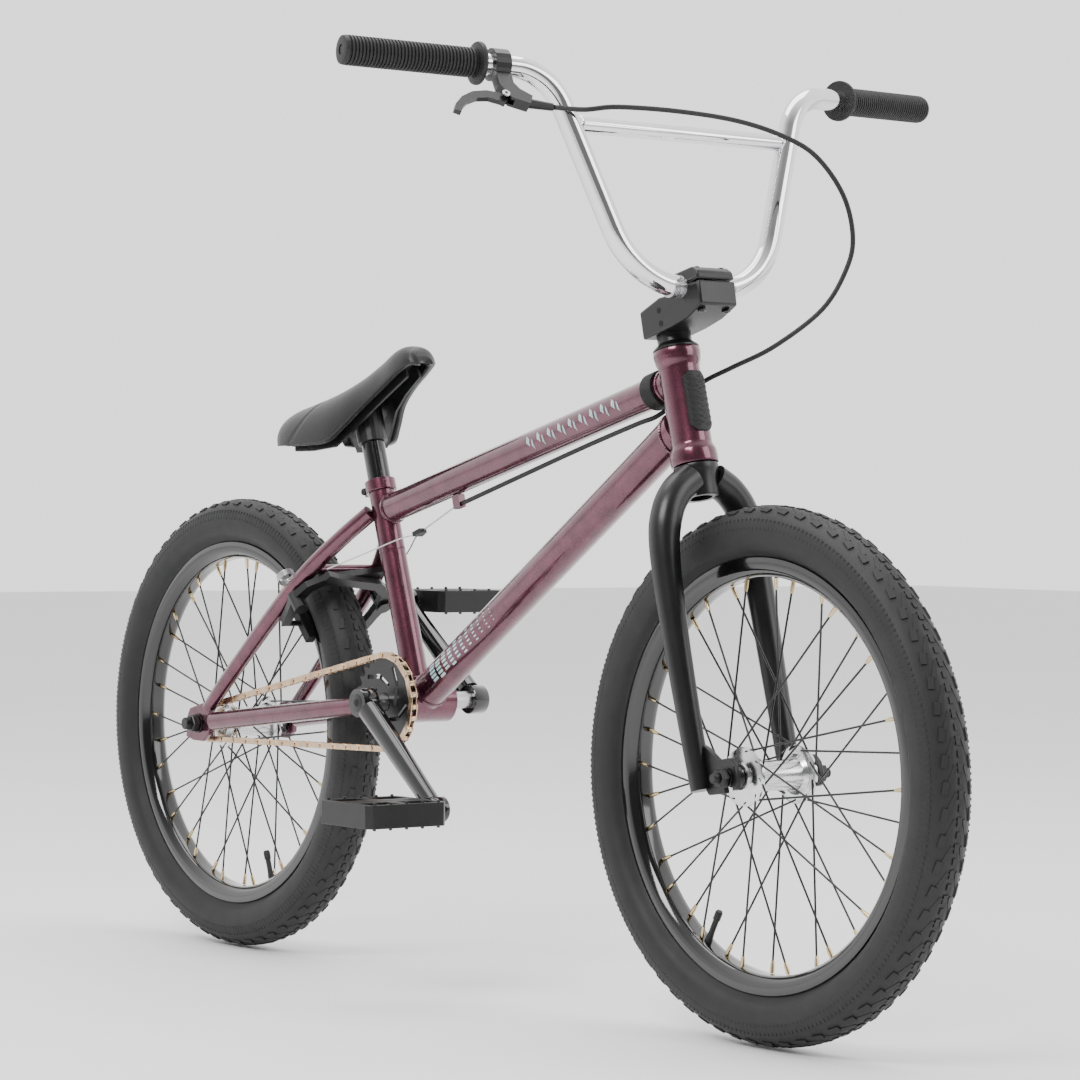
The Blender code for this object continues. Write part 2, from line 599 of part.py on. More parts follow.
def pedal(side, sign, centre):
    start, end = 0.0705, 0.1900
    rod(f"pedal_axle_{side}", centre + Vector((0, sign * start, 0)), centre + Vector((0, sign * end, 0)),
        0.0065, STEEL, end_radius=0.0045, sides=12)
    low, high, half, thick = 0.0960, 0.1960, 0.0455, 0.0125
    ends = sorted((sign * low, sign * high))
    body = block(f"pedal_{side}", (-half, ends[0], -thick), (half, ends[1], thick), PLASTIC, bevel=0.003)
    middle = body.location.copy()
    body.data.transform(Matrix.Translation(middle))
    body.location = centre
    windows = []
    for x in (-1, 1):
        for y in (-1, 1):
            near = Vector((x * 0.0275, middle.y + y * 0.0240, 0))
            size = Vector((0.0120, 0.0185, 0.03))
            windows.append(block(f"window_{side}_{x}_{y}", near - size, near + size, None, body))
    spine = rod(f"pedal_spine_{side}", (0, sign * low, 0), (0, sign * high, 0), 0.0128, None, sides=16,
                parent=body)
    bore = rod(f"pedal_bore_{side}", (0, sign * 0.08, 0), (0, sign * 0.193, 0), 0.0072, None, sides=12,
               parent=body)
    cut(body, *windows)
    join(body, spine)
    cut(body, bore)


# ------------------------------------------------------------------ fork, stem and bars
def front_end():
    steering = anchor("steering_axis", HEAD_LOW, (0, HEAD_TILT, 0))
    fork(steering)
    stem(steering)
    handlebar(steering)
    brake_lever(steering)
    hub = (FORK_OFFSET, 0, -AXLE_TO_CROWN)
    axle("front_axle", Vector(hub), 0.0050, 0.0740, FRONT_DROPOUT, 0.0095, 0.0403, steering)


def fork(steering):
    wall = 0.0025
    tall = 0.1640
    shank = [(0.0143, tall), (0.0143, -0.0006), (0.0215, -0.0007), (0.0225, -0.0030), (0.0205, -0.0120),
             (0.0190, -0.0330), (0.0143 - wall, -0.0330), (0.0143 - wall, tall)]
    turned("fork_steerer", shank, SATIN_BLACK, (0, 0, 0), (0, 0, 1), steps=18, parent=steering)
    drop = -AXLE_TO_CROWN
    for side, sign in SIDES.items():
        run = [(0.006, 0.0185, -0.0170), (0.005, 0.0340, -0.0280), (0.003, 0.0480, -0.0480),
               (0.000, 0.0560, -0.0800), (-0.002, 0.0585, -0.1400), (-0.003, 0.0585, -0.2300),
               (-0.003, 0.0575, drop - 0.0060)]
        route = smooth_route([(x, sign * y, z) for x, y, z in run], 2)
        radii = [1.0] * 6 + [1.0 - 0.34 * step / (len(route) - 7) for step in range(len(route) - 6)]
        leg = as_mesh(wire(f"fork_leg_{side}", route, 0.0160, SATIN_BLACK, steering, radii, 3))
        crown_cut = rod(f"crown_cut_{side}", (0, 0, -0.08), (0, 0, 0.02), 0.0232, None, sides=24, parent=steering)
        cut(leg, crown_cut)
        join(leg, fork_dropout(side, sign, steering))


def fork_dropout(side, sign, steering):
    slot = 0.0055
    outline = [(slot, -0.014), (slot, 0.0)] + arc(0, 0, slot, 30, 150, 3) + [(-slot, 0.0), (-slot, -0.014)]
    outline += [(-0.0150, -0.0130), (-0.0300, -0.0110), (-0.0380, 0.0060), (-0.0340, 0.0420)]
    outline += [(-0.0220, 0.0340), (-0.0080, 0.0190), (0.0080, 0.0175), (0.0135, 0.0090), (0.0140, -0.0060)]
    outline += [(0.0110, -0.0130)]
    centre = Vector((FORK_OFFSET, sign * (FRONT_DROPOUT + DROPOUT_THICKNESS / 2), -AXLE_TO_CROWN))
    return plate(f"fork_dropout_{side}", [outline], DROPOUT_THICKNESS, None, steering, centre, UPRIGHT)


def stem(steering):
    half = 0.0235
    base = HEAD_TUBE_LENGTH + GAP
    cap = [(0.0172, base + 0.0155), (0.0172, base + 0.0070), (0.0225, base + 0.0025), (0.0232, base),
           (0.0147, base), (0.0147, base + 0.0155)]
    turned("headset_cap", cap, SATIN_BLACK, parent=steering, steps=16)
    low, split = base + 0.0158, BAR_CENTRE[1]
    sketch = [(-0.0200, low), (0.0240, low), (0.0500, low + 0.0020), (0.0745, 0.1425), (0.0765, split - 0.0008),
              (0.0240, split - 0.0008), (0.0130, split + 0.0005), (-0.0190, 0.1625)]
    body = plate("stem_body", [sketch], 2 * half, SATIN_BLACK, steering, turn=UPRIGHT)
    lid = [(0.0240, split + 0.0008), (0.0765, split + 0.0008), (0.0755, 0.1765), (0.0690, 0.1825),
           (0.0400, 0.1835), (0.0270, 0.1770)]
    cover = plate("stem_cap", [lid], 2 * half, SATIN_BLACK, steering, turn=UPRIGHT)
    bar_cut = rod("bar_cut", (BAR_CENTRE[0], -0.05, BAR_CENTRE[1]), (BAR_CENTRE[0], 0.05, BAR_CENTRE[1]),
                  BAR_RADIUS + GAP, None, sides=24, parent=steering)
    steerer_cut = rod("steerer_cut", (0, 0, 0.10), (0, 0, 0.1648), 0.0147, None, sides=24, parent=steering)
    cut(body, bar_cut, steerer_cut)
    cut(cover, bar_cut)


def bar_corners():
    low_x, low_z = BAR_CENTRE
    high, end = BAR_HIGH_CORNER, BAR_END
    left = [(low_x, BAR_LOW_CORNER, low_z), high, end]
    return [(x, -y, z) for x, y, z in left[::-1]] + left


def handlebar(steering):
    corners = bar_corners()
    route = bent_path(corners, (0.058, 0.085, 0.085, 0.058), steps=5)
    bar = wire("handlebar", route, BAR_RADIUS, CHROME, steering, resolution=3)
    bar = as_mesh(bar)
    low = Vector(corners[3])
    high = Vector(corners[4])
    joint = low.lerp(high, CROSSBAR_AT)
    reach = joint.y
    brace = rod("crossbar_core", (joint.x, -reach, joint.z), (joint.x, reach, joint.z), 0.0080, None, sides=16,
                parent=steering)
    join(bar, brace)
    for side, sign in SIDES.items():
        end = Vector((BAR_END[0], sign * BAR_END[1], BAR_END[2]))
        corner = Vector((BAR_HIGH_CORNER[0], sign * BAR_HIGH_CORNER[1], BAR_HIGH_CORNER[2]))
        inward = (corner - end).normalized()
        bore, grip = BAR_RADIUS + GAP, GRIP_RADIUS
        length = GRIP_LENGTH
        sleeve = [(bore, length), (0.0215, length), (0.0215, length - 0.0035), (grip, length - 0.0050),
                  (grip, 0.0030), (grip - 0.0015, -0.0012), (0, -0.0012)]
        end_wall = [(0, -GAP), (bore, -GAP)]
        made = turned(f"grip_{side}", sleeve + end_wall, RUBBER, end, inward, steps=16, parent=steering,
                      closed=False)
        close_profile(made)


def close_profile(made):
    """Join a profile's two ends that aren't on the axis."""
    bm = bmesh.new()
    bm.from_mesh(made.data)
    bm.verts.ensure_lookup_table()
    bm.edges.new((bm.verts[-1], bm.verts[0]))
    bm.to_mesh(made.data)
    bm.free()


def lever_frame():
    """The brake lever's frame: x outboard along the bar, y away from it, z its pivot's axis."""
    inner = Vector((BAR_HIGH_CORNER[0], -BAR_HIGH_CORNER[1], BAR_HIGH_CORNER[2]))
    outer = Vector((BAR_END[0], -BAR_END[1], BAR_END[2]))
    outboard = (outer - inner).normalized()
    ahead = Vector((1, 0, 0)) - outboard * outboard.x
    ahead.normalize()
    below = outboard.cross(ahead)
    if below.z > 0:
        below.negate()
    lean = math.radians(66)
    away = ahead * math.cos(lean) + below * math.sin(lean)
    centre = outer - outboard * 0.1620
    return centre, outboard, away


def brake_lever(steering):
    centre, outboard, away = lever_frame()
    basis = Matrix((outboard, away, outboard.cross(away))).transposed()
    frame = anchor("lever_frame", centre, (0, 0, 0), steering)
    frame.rotation_mode = "QUATERNION"
    frame.rotation_quaternion = basis.to_quaternion()
    clamp = turned("brake_lever_bracket",
                   [(0.0160, 0.0080), (0.0160, -0.0080), (BAR_RADIUS + GAP, -0.0080), (BAR_RADIUS + GAP, 0.0080)],
                   SATIN_BLACK, (0, 0, 0), (1, 0, 0), steps=20, parent=frame)
    neck = plate("bracket_neck", [band([(0, 0.0135), (0.001, 0.030), (-0.005, 0.043), (-0.020, 0.0500)],
                                       [0.016, 0.016, 0.018, 0.012])], 0.0120, None, frame)
    barrel = rod("bracket_barrel", (-0.018, 0.0495, 0), (-0.0440, 0.0515, 0), 0.0050, None, sides=10,
                 end_radius=0.0038, parent=frame)
    slot = block("bracket_slot", (-0.003, 0.0370, -0.0031), (0.030, 0.070, 0.0031), None, frame)
    join(clamp, neck, barrel)
    cut(clamp, slot)
    pivot = anchor("lever_axis", (0.0060, 0.0450, 0), (0, 0, 0), frame)
    blade = [(-0.001, 0.006), (0.004, 0.002), (0.018, -0.0005), (0.032, 0.0020), (0.044, 0.0090),
             (0.053, 0.0190), (0.056, 0.0260)]
    plate("brake_lever", [band(blade, [0.010, 0.012, 0.010, 0.009, 0.0080, 0.0075, 0.0070])], 0.0054,
          SATIN_BLACK, pivot)


# ------------------------------------------------------------------ rear brake
def rear_brake():
    lean = -math.atan2(STAY_LINE.z, STAY_LINE.x)
    mount = anchor("brake_mount", REAR_AXLE + STAY_LINE * 0.2440, (0, lean, 0))
    post = 0.0560
    for side, sign in SIDES.items():
        axis = anchor(f"brake_axis_{side}", (0, sign * post, 0), (0, 0, 0), mount)
        near = -0.0165 if sign < 0 else -0.0255
        swing = [(-0.0440, -0.0060), (-0.0200, -0.0030), (0.0000, 0.0000), (0.0200, -0.0060),
                 (0.0330, -0.0240), (0.0380, -0.0560), (0.0440, -0.0860), (0.0490, -0.1010)]
        route = [(x, sign * y) for x, y in swing]
        arm = plate(f"brake_arm_{side}", [band(route, [0.011, 0.012, 0.016, 0.013, 0.012, 0.011, 0.010, 0.009])],
                    0.0080, SATIN_BLACK, axis, (0, 0, near))
        boss = rod(f"brake_boss_{side}", (0, 0, -0.0108), (0, 0, -0.0330), 0.0085, None, sides=14, parent=axis)
        join(arm, boss)
        pad = block(f"brake_pad_{side}", (-0.0050, -0.0050, -0.0240), (0.0050, 0.0050, 0.0240), RUBBER, axis)
        pad.location = (-0.0440, -sign * (post - 0.0240), near)
        stem_bar = rod(f"pad_stem_{side}", (0, 0, 0), (0, sign * 0.0230, 0), 0.0032, None, sides=10, parent=pad)
        join(pad, stem_bar)
        hole = rod(f"arm_hole_{side}", (-0.0440, -sign * 0.03, near), (-0.0440, sign * 0.03, near), 0.0036, None,
                   sides=10, parent=axis)
        cut(arm, hole)
    cable_parts(mount, post)


def cable_parts(mount, post):
    bpy.context.view_layer.update()
    pull = (STOP_POINT - HANGER_POINT).normalized()
    turn = pull.to_track_quat("Z", "Y")
    plate("cable_hanger", [[(-0.0065, -0.006), (0.0065, -0.006), (0.0045, 0.0060), (-0.0045, 0.0060)]],
          0.0050, SATIN_BLACK, None, HANGER_POINT,
          (turn.to_matrix() @ Matrix.Rotation(math.radians(90), 3, "X")).to_quaternion())
    ends = [mount.matrix_world @ Vector((0.0490 + 0.0065, side * (0.1010 - post), -0.0210)) for side in (1, -1)]
    low = HANGER_POINT - pull * 0.0085
    left, right = ends
    around = [left, left.lerp(low, 0.45) + Vector((0, 0.0040, 0)), low + Vector((-0.016, 0.0100, -0.004)),
              low, low + Vector((-0.016, -0.0100, -0.004)), right.lerp(low, 0.45) - Vector((0, 0.0040, 0)), right]
    wire("straddle_wire", smooth_route(around, 3), 0.0008, STEEL, resolution=1)
    start = HANGER_POINT + pull * 0.0066
    end = STOP_POINT - TOP_TUBE_LINE * 0.0064
    wire("brake_inner_wire", [start, start.lerp(end, 0.5), end], 0.0008, STEEL)


def brake_housing():
    centre, outboard, away = lever_frame()
    barrel = centre - outboard * 0.0452 + away * 0.0515
    start = HEAD_LOW + STEER_FORWARD * barrel.x + STEER_UP * barrel.z + Vector((0, barrel.y, 0))
    route = [start, (0.3385, -0.1370, 0.8970), (0.3500, -0.1050, 0.9010), (0.3620, -0.0400, 0.9008),
             (0.3740, 0.0250, 0.8955), (0.3850, 0.0750, 0.8835), (0.3960, 0.1100, 0.8651),
             (0.4088, 0.1350, 0.8282), (0.4165, 0.1420, 0.7876), (0.4149, 0.1360, 0.7546),
             (0.4030, 0.1150, 0.7135), (0.3722, 0.0800, 0.6766), (0.3414, 0.0520, 0.6556),
             (0.3180, 0.0360, 0.6420), (0.2980, 0.0220, 0.6250), (0.2800, 0.0070, 0.6070),
             (0.2550, 0.0000, 0.5985), (0.1700, 0.0000, 0.5760), (0.0600, 0.0000, 0.5450),
             STOP_POINT + TOP_TUBE_LINE * 0.0064]
    wire("brake_housing", smooth_route(route, 3), 0.0025, RUBBER, resolution=1)


# ------------------------------------------------------------------ seat
SEAT_NOSE = Vector((-0.1060, 0, 0.6660))
SEAT_PITCH = math.radians(20)
SEAT_STATIONS = (
    # along, top, half width, drop at the edge
    (0.000, 0.0080, 0.0080, 0.0060),
    (0.005, 0.0220, 0.0165, 0.0170),
    (0.026, 0.0310, 0.0225, 0.0280),
    (0.060, 0.0270, 0.0250, 0.0310),
    (0.090, 0.0235, 0.0300, 0.0360),
    (0.120, 0.0220, 0.0400, 0.0480),
    (0.145, 0.0225, 0.0480, 0.0570),
    (0.180, 0.0255, 0.0540, 0.0520),
    (0.210, 0.0280, 0.0560, 0.0440),
    (0.228, 0.0240, 0.0530, 0.0340),
    (0.236, 0.0100, 0.0450, 0.0160),
)
SEAT_ACROSS = 8


def seat_sheet(name, stations, inset):
    """The saddle's top surface, from nose to tail, set in from the outside by inset."""
    bm = bmesh.new()
    rows = []
    for along, top, half, drop in stations:
        row = []
        for step in range(SEAT_ACROSS + 1):
            turn = math.radians(-90 + 180 * step / SEAT_ACROSS)
            y = (half - inset) * math.sin(turn)
            z = top - inset - (drop - inset / 2) * (1 - math.cos(turn)) ** 1.3
            row.append(bm.verts.new((-along, y, z)))
        rows.append(row)
    for first, second in zip(rows, rows[1:]):
        for a, b, c, d in zip(first, first[1:], second[1:], second):
            bm.faces.new((a, b, c, d))
    bmesh.ops.recalc_face_normals(bm, faces=bm.faces)
    middle = rows[2][SEAT_ACROSS // 2]
    middle.normal_update()
    if middle.normal.z < 0:
        bmesh.ops.reverse_faces(bm, faces=bm.faces)
    return finished(name, bm)


def seat():
    post_low, post_high = 0.1150, 0.3120
    rod("seat_post", BB + SEAT_UP * post_low, BB + SEAT_UP * post_high, POST_RADIUS, SATIN_BLACK, sides=24)
    frame = anchor("seat_frame", SEAT_NOSE, (0, -SEAT_PITCH, 0))
    cover = add("seat_cover", seat_sheet("seat_cover", SEAT_STATIONS, 0.0), COVER, frame)
    padding = cover.modifiers.new("padding", "SOLIDIFY")
    padding.thickness = 0.0080
    padding.offset = -1
    base = add("seat_base", seat_sheet("seat_base", SEAT_STATIONS[2:-2], 0.0125), PLASTIC, frame)
    shell = base.modifiers.new("shell", "SOLIDIFY")
    shell.thickness = 0.0030
    shell.offset = -1
    head = rod("seat_head", BB + SEAT_UP * 0.2960, BB + SEAT_UP * 0.3500, 0.0165, None, sides=20)
    join(base, head)
    bore = rod("seat_head_bore", BB + SEAT_UP * 0.28, BB + SEAT_UP * (post_high + GAP), POST_RADIUS + GAP, None,
               sides=24)
    cut(base, bore)


head_tube()
mitres = main_tubes()
seat_clamp()
rear_triangle(*mitres)
small_frame_parts()
front_wheel()
rear_wheel()
axle("rear_axle", REAR_AXLE, 0.0070, 0.0800, REAR_DROPOUT, 0.0110, 0.0505)
drivetrain()
front_end()
rear_brake()
brake_housing()
seat()
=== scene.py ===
import json
import math

import bmesh
import bpy
from mathutils import Matrix, Vector


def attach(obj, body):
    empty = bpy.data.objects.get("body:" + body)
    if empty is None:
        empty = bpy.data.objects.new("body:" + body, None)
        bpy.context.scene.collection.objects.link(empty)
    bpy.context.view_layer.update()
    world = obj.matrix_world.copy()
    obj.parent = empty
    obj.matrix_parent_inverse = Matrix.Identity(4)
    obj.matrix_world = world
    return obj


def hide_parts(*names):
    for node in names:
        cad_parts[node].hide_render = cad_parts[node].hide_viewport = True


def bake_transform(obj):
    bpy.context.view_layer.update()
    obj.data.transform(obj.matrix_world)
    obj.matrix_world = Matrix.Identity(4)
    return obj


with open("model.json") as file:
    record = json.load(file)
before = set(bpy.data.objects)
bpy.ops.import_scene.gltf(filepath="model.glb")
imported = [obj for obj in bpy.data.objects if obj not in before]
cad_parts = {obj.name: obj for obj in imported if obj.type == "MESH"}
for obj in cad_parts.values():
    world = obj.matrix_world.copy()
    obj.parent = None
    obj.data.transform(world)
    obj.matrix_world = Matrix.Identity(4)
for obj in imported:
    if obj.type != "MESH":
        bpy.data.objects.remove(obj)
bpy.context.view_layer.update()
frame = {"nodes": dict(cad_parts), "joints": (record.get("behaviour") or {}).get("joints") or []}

# ------------------------------------------------------------------ the bike's own frame (metres)
WHEEL = 0.260
REAR = Vector((-0.465, 0, WHEEL))
FRONT = Vector((0.465, 0, WHEEL))
BB = Vector((-0.112, 0, 0.302))
TILT = math.radians(-15.5)
UP = Vector((math.sin(TILT), 0, math.cos(TILT)))
AHEAD = Vector((math.cos(TILT), 0, -math.sin(TILT)))
HEAD = FRONT - AHEAD * 0.034 + UP * 0.3175
SEAT_UP = Vector((-math.cos(math.radians(71.4)), 0, math.sin(math.radians(71.4))))
TOP_A = BB + SEAT_UP * 0.2165
TOP_B = HEAD + UP * 0.0873
DOWN_B = HEAD + UP * 0.0461
STAY_TOP = Vector((-0.1845, 0, 0.5085))
Y = Vector((0, 1, 0))
SIDES = {"right": -1, "left": 1}


def point(forward, side, height):
    """A point in the steering frame."""
    return HEAD + AHEAD * forward + UP * height + Vector((0, side, 0))


# ------------------------------------------------------------------ camera
yaw, pitch, roll = 2.4852, -0.0107, 0.0114
look = Vector((math.cos(yaw) * math.cos(pitch), math.sin(yaw) * math.cos(pitch), math.sin(pitch)))
flat = Vector((math.sin(yaw), -math.cos(yaw), 0))
rise = flat.cross(look)
right = flat * math.cos(roll) + rise * math.sin(roll)
rise = right.cross(look)
lens = bpy.data.cameras.new("camera")
lens.lens, lens.sensor_width = 119.06, 36
lens.clip_end = 100
camera = bpy.data.objects.new("camera", lens)
camera.matrix_world = Matrix((right, rise, -look)).transposed().to_4x4()
camera.location = (3.0372, -2.2639, 0.5197)
bpy.context.scene.collection.objects.link(camera)
bpy.context.scene.camera = camera


# ------------------------------------------------------------------ materials
def material(name, colour, rough, metal=0.0, coat=0.0, coat_rough=0.05, spread=0.12, scale=60, bump=0.0,
             bump_scale=300, rough_spread=0.12, flake=0.0, accent=None, sheen=0.0, bump_kind="noise"):
    """A finish with slow colour drift, patchy gloss and a fine grain in its surface."""
    made = bpy.data.materials.new(name)
    made.use_nodes = True
    nodes, links = made.node_tree.nodes, made.node_tree.links
    shader = nodes["Principled BSDF"]
    shader.inputs["Metallic"].default_value = metal
    shader.inputs["Coat Weight"].default_value = coat
    shader.inputs["Coat Roughness"].default_value = coat_rough
    shader.inputs["Sheen Weight"].default_value = sheen
    place = nodes.new("ShaderNodeTexCoord")
    drift = nodes.new("ShaderNodeTexNoise")
    drift.inputs["Scale"].default_value = scale
    drift.inputs["Detail"].default_value = 5
    links.new(place.outputs["Object"], drift.inputs["Vector"])
    ramp = nodes.new("ShaderNodeValToRGB")
    ramp.color_ramp.elements[0].position = 0.3
    ramp.color_ramp.elements[1].position = 0.7
    low = tuple(c * (1 - spread) for c in colour)
    high = tuple(min(1, c * (1 + spread)) for c in (accent or colour))
    ramp.color_ramp.elements[0].color = (*low, 1)
    ramp.color_ramp.elements[1].color = (*high, 1)
    links.new(drift.outputs["Fac"], ramp.inputs["Fac"])
    shade = ramp.outputs["Color"]
    if flake:
        cells = nodes.new("ShaderNodeTexVoronoi")
        cells.inputs["Scale"].default_value = 1400
        links.new(place.outputs["Object"], cells.inputs["Vector"])
        mix = nodes.new("ShaderNodeMixRGB")
        mix.blend_type = "OVERLAY"
        mix.inputs["Fac"].default_value = flake
        links.new(shade, mix.inputs["Color1"])
        grey = nodes.new("ShaderNodeRGBToBW")
        links.new(cells.outputs["Color"], grey.inputs["Color"])
        links.new(grey.outputs["Val"], mix.inputs["Color2"])
        shade = mix.outputs["Color"]
    links.new(shade, shader.inputs["Base Color"])
    gloss = nodes.new("ShaderNodeMapRange")
    gloss.inputs["To Min"].default_value = rough * (1 - rough_spread)
    gloss.inputs["To Max"].default_value = min(1, rough * (1 + rough_spread))
    smear = nodes.new("ShaderNodeTexNoise")
    smear.inputs["Scale"].default_value = scale * 0.6
    smear.inputs["Detail"].default_value = 8
    links.new(place.outputs["Object"], smear.inputs["Vector"])
    links.new(smear.outputs["Fac"], gloss.inputs["Value"])
    links.new(gloss.outputs["Result"], shader.inputs["Roughness"])
    if bump:
        if bump_kind == "grain":
            grain = nodes.new("ShaderNodeTexVoronoi")
            height = grain.outputs["Distance"]
        else:
            grain = nodes.new("ShaderNodeTexNoise")
            grain.inputs["Detail"].default_value = 4
            height = grain.outputs["Fac"]
        grain.inputs["Scale"].default_value = bump_scale
        links.new(place.outputs["Object"], grain.inputs["Vector"])
        relief = nodes.new("ShaderNodeBump")
        relief.inputs["Strength"].default_value = bump
        relief.inputs["Distance"].default_value = 0.0006
        links.new(height, relief.inputs["Height"])
        links.new(relief.outputs["Normal"], shader.inputs["Normal"])
    return made


PAINT = material("plum_paint", (0.098, 0.022, 0.042), 0.27, 0.80, coat=1.0, coat_rough=0.03, spread=0.10, flake=0.35,
                 accent=(0.125, 0.030, 0.056))
CHROME = material("chrome", (0.80, 0.80, 0.82), 0.06, 1.0, spread=0.03, rough_spread=0.3, scale=40)
ALLOY = material("polished_aluminium", (0.70, 0.70, 0.71), 0.20, 1.0, spread=0.05, bump=0.05, bump_scale=500)
STEEL_MAT = material("steel", (0.52, 0.52, 0.53), 0.28, 1.0, spread=0.10, bump=0.06, bump_scale=700)
SATIN = material("satin_black", (0.0050, 0.0050, 0.0055), 0.33, 0.0, spread=0.2, bump=0.05, bump_scale=900)
GLOSS = material("gloss_black", (0.0030, 0.0030, 0.0034), 0.12, 0.0, coat=0.6, coat_rough=0.05, spread=0.2)
PLASTIC = material("black_plastic", (0.0060, 0.0060, 0.0064), 0.40, 0.0, spread=0.2, bump=0.22, bump_scale=900)
RUBBER = material("rubber", (0.0060, 0.0060, 0.0062), 0.56, 0.0, spread=0.2, bump=0.20, bump_scale=700)
TYRE = material("tyre_rubber", (0.0075, 0.0075, 0.0078), 0.60, 0.0, spread=0.22, bump=0.25, bump_scale=600)
LEATHER = material("seat_cover", (0.0050, 0.0050, 0.0056), 0.36, 0.0, spread=0.18, bump=0.30, bump_scale=520,
                   bump_kind="grain", sheen=0.08)
GOLD = material("gold_chain", (0.62, 0.44, 0.29), 0.26, 1.0, spread=0.15, accent=(0.70, 0.52, 0.36))
BRASS = material("nipple_brass", (0.66, 0.52, 0.30), 0.25, 1.0, spread=0.10)
HOLE_SHADE = material("painted_hole_shade", (0.004, 0.004, 0.004), 0.8, 0.0, spread=0.2)
# Near-black for the thin flat discs and hexagons laid over holes and bolt sockets: painted shade standing in for their
# hollows.
DECAL = material("pale_blue_print", (0.42, 0.62, 0.66), 0.40, 0.0, coat=0.6, spread=0.06, accent=(0.50, 0.70, 0.72))


# ------------------------------------------------------------------ helpers
def turned_to(axis, start=(0, 0, 0)):
    """A matrix that stands a shape's own Z along axis, from start."""
    return Matrix.Translation(Vector(start)) @ Vector(axis).to_track_quat("Z", "Y").to_matrix().to_4x4()


def put(bm, name, finish, body, replaces=(), smooth=True, bevel=0.0, segments=2, split=35):
    bmesh.ops.remove_doubles(bm, verts=bm.verts, dist=1e-7)
    bmesh.ops.recalc_face_normals(bm, faces=bm.faces)
    mesh = bpy.data.meshes.new(name)
    bm.to_mesh(mesh)
    bm.free()
    made = bpy.data.objects.new(name, mesh)
    bpy.context.scene.collection.objects.link(made)
    finishes = finish if isinstance(finish, (list, tuple)) else [finish]
    for one in finishes:
        mesh.materials.append(one)
    if bevel:
        edge = made.modifiers.new("edge", "BEVEL")
        edge.width, edge.segments, edge.limit_method = bevel, segments, "ANGLE"
        edge.angle_limit = math.radians(30)
        edge.harden_normals = False
    if smooth:
        with bpy.context.temp_override(active_object=made, object=made, selected_objects=[made],
                                       selected_editable_objects=[made]):
            bpy.ops.object.shade_smooth_by_angle(angle=math.radians(split))
    if body:
        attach(made, body)
    if replaces:
        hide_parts(*replaces)
    return made


def lathe(bm, profile, place, steps=96, closed=True, index=0):
    """Rings of (radius, height) turned about a placed Z axis."""
    rings = []
    for radius, height in profile:
        if radius < 1e-6:
            rings.append([bm.verts.new(place @ Vector((0, 0, height)))])
            continue
        rings.append([bm.verts.new(place @ Vector((radius * math.cos(a), radius * math.sin(a), height)))
                      for a in (2 * math.pi * k / steps for k in range(steps))])
    pairs = list(zip(rings, rings[1:]))
    if closed:
        pairs.append((rings[-1], rings[0]))
    for a, b in pairs:
        for k in range(steps):
            n = (k + 1) % steps
            if len(a) == 1 and len(b) == 1:
                continue
            if len(a) == 1:
                face = bm.faces.new((a[0], b[k], b[n]))
            elif len(b) == 1:
                face = bm.faces.new((a[k], b[0], a[n]))
            else:
                face = bm.faces.new((a[k], b[k], b[n], a[n]))
            face.material_index = index


def solid(bm, profile, place, steps=48, index=0):
    """A turned solid whose profile is closed on the axis."""
    lathe(bm, [(0, profile[0][1])] + list(profile) + [(0, profile[-1][1])], place, steps, closed=False, index=index)


def sweep(bm, points, radii, sides=32, index=0, squash=None):
    """A round bar along points, with its own radius at each."""
    points = [Vector(p) for p in points]
    if not isinstance(radii, (list, tuple)):
        radii = [radii] * len(points)
    tangents = []
    for k, p in enumerate(points):
        a = points[max(k - 1, 0)]
        b = points[min(k + 1, len(points) - 1)]
        tangents.append((b - a).normalized())
    normal = tangents[0].orthogonal().normalized()
    rings = []
    for p, t, r in zip(points, tangents, radii):
        normal = (normal - t * normal.dot(t)).normalized()
        across = t.cross(normal)
        rings.append([bm.verts.new(p + (normal * math.cos(a) + across * math.sin(a)) * r)
                      for a in (2 * math.pi * k / sides for k in range(sides))])
    for a, b in zip(rings, rings[1:]):
        for k in range(sides):
            n = (k + 1) % sides
            bm.faces.new((a[k], a[n], b[n], b[k])).material_index = index
    bm.faces.new(rings[0][::-1]).material_index = index
    bm.faces.new(rings[-1]).material_index = index


def smooth(points, steps=8):
    """A Catmull-Rom curve through the points."""
    points = [Vector(p) for p in points]
    ends = [points[0] * 2 - points[1]] + points + [points[-1] * 2 - points[-2]]
    made = []
    for a, b, c, d in zip(ends, ends[1:], ends[2:], ends[3:]):
        for k in range(steps):
            t = k / steps
            made.append(0.5 * (2 * b + (c - a) * t + (2 * a - 5 * b + 4 * c - d) * t * t
                               + (3 * b - a - 3 * c + d) * t ** 3))
    return made + [points[-1]]


def bent(corners, radii, steps=14):
    """Straight runs joined by round bends."""
    corners = [Vector(c) for c in corners]
    made = [corners[0]]
    for a, b, c, radius in zip(corners, corners[1:], corners[2:], radii):
        back, on = (a - b).normalized(), (c - b).normalized()
        half = back.angle(on) / 2
        reach = radius / math.tan(half)
        centre = b + (back + on).normalized() * (radius / math.sin(half))
        start, end = b + back * reach - centre, b + on * reach - centre
        for k in range(steps + 1):
            made.append(centre + start.slerp(end, k / steps).normalized() * radius)
    return made + [corners[-1]]


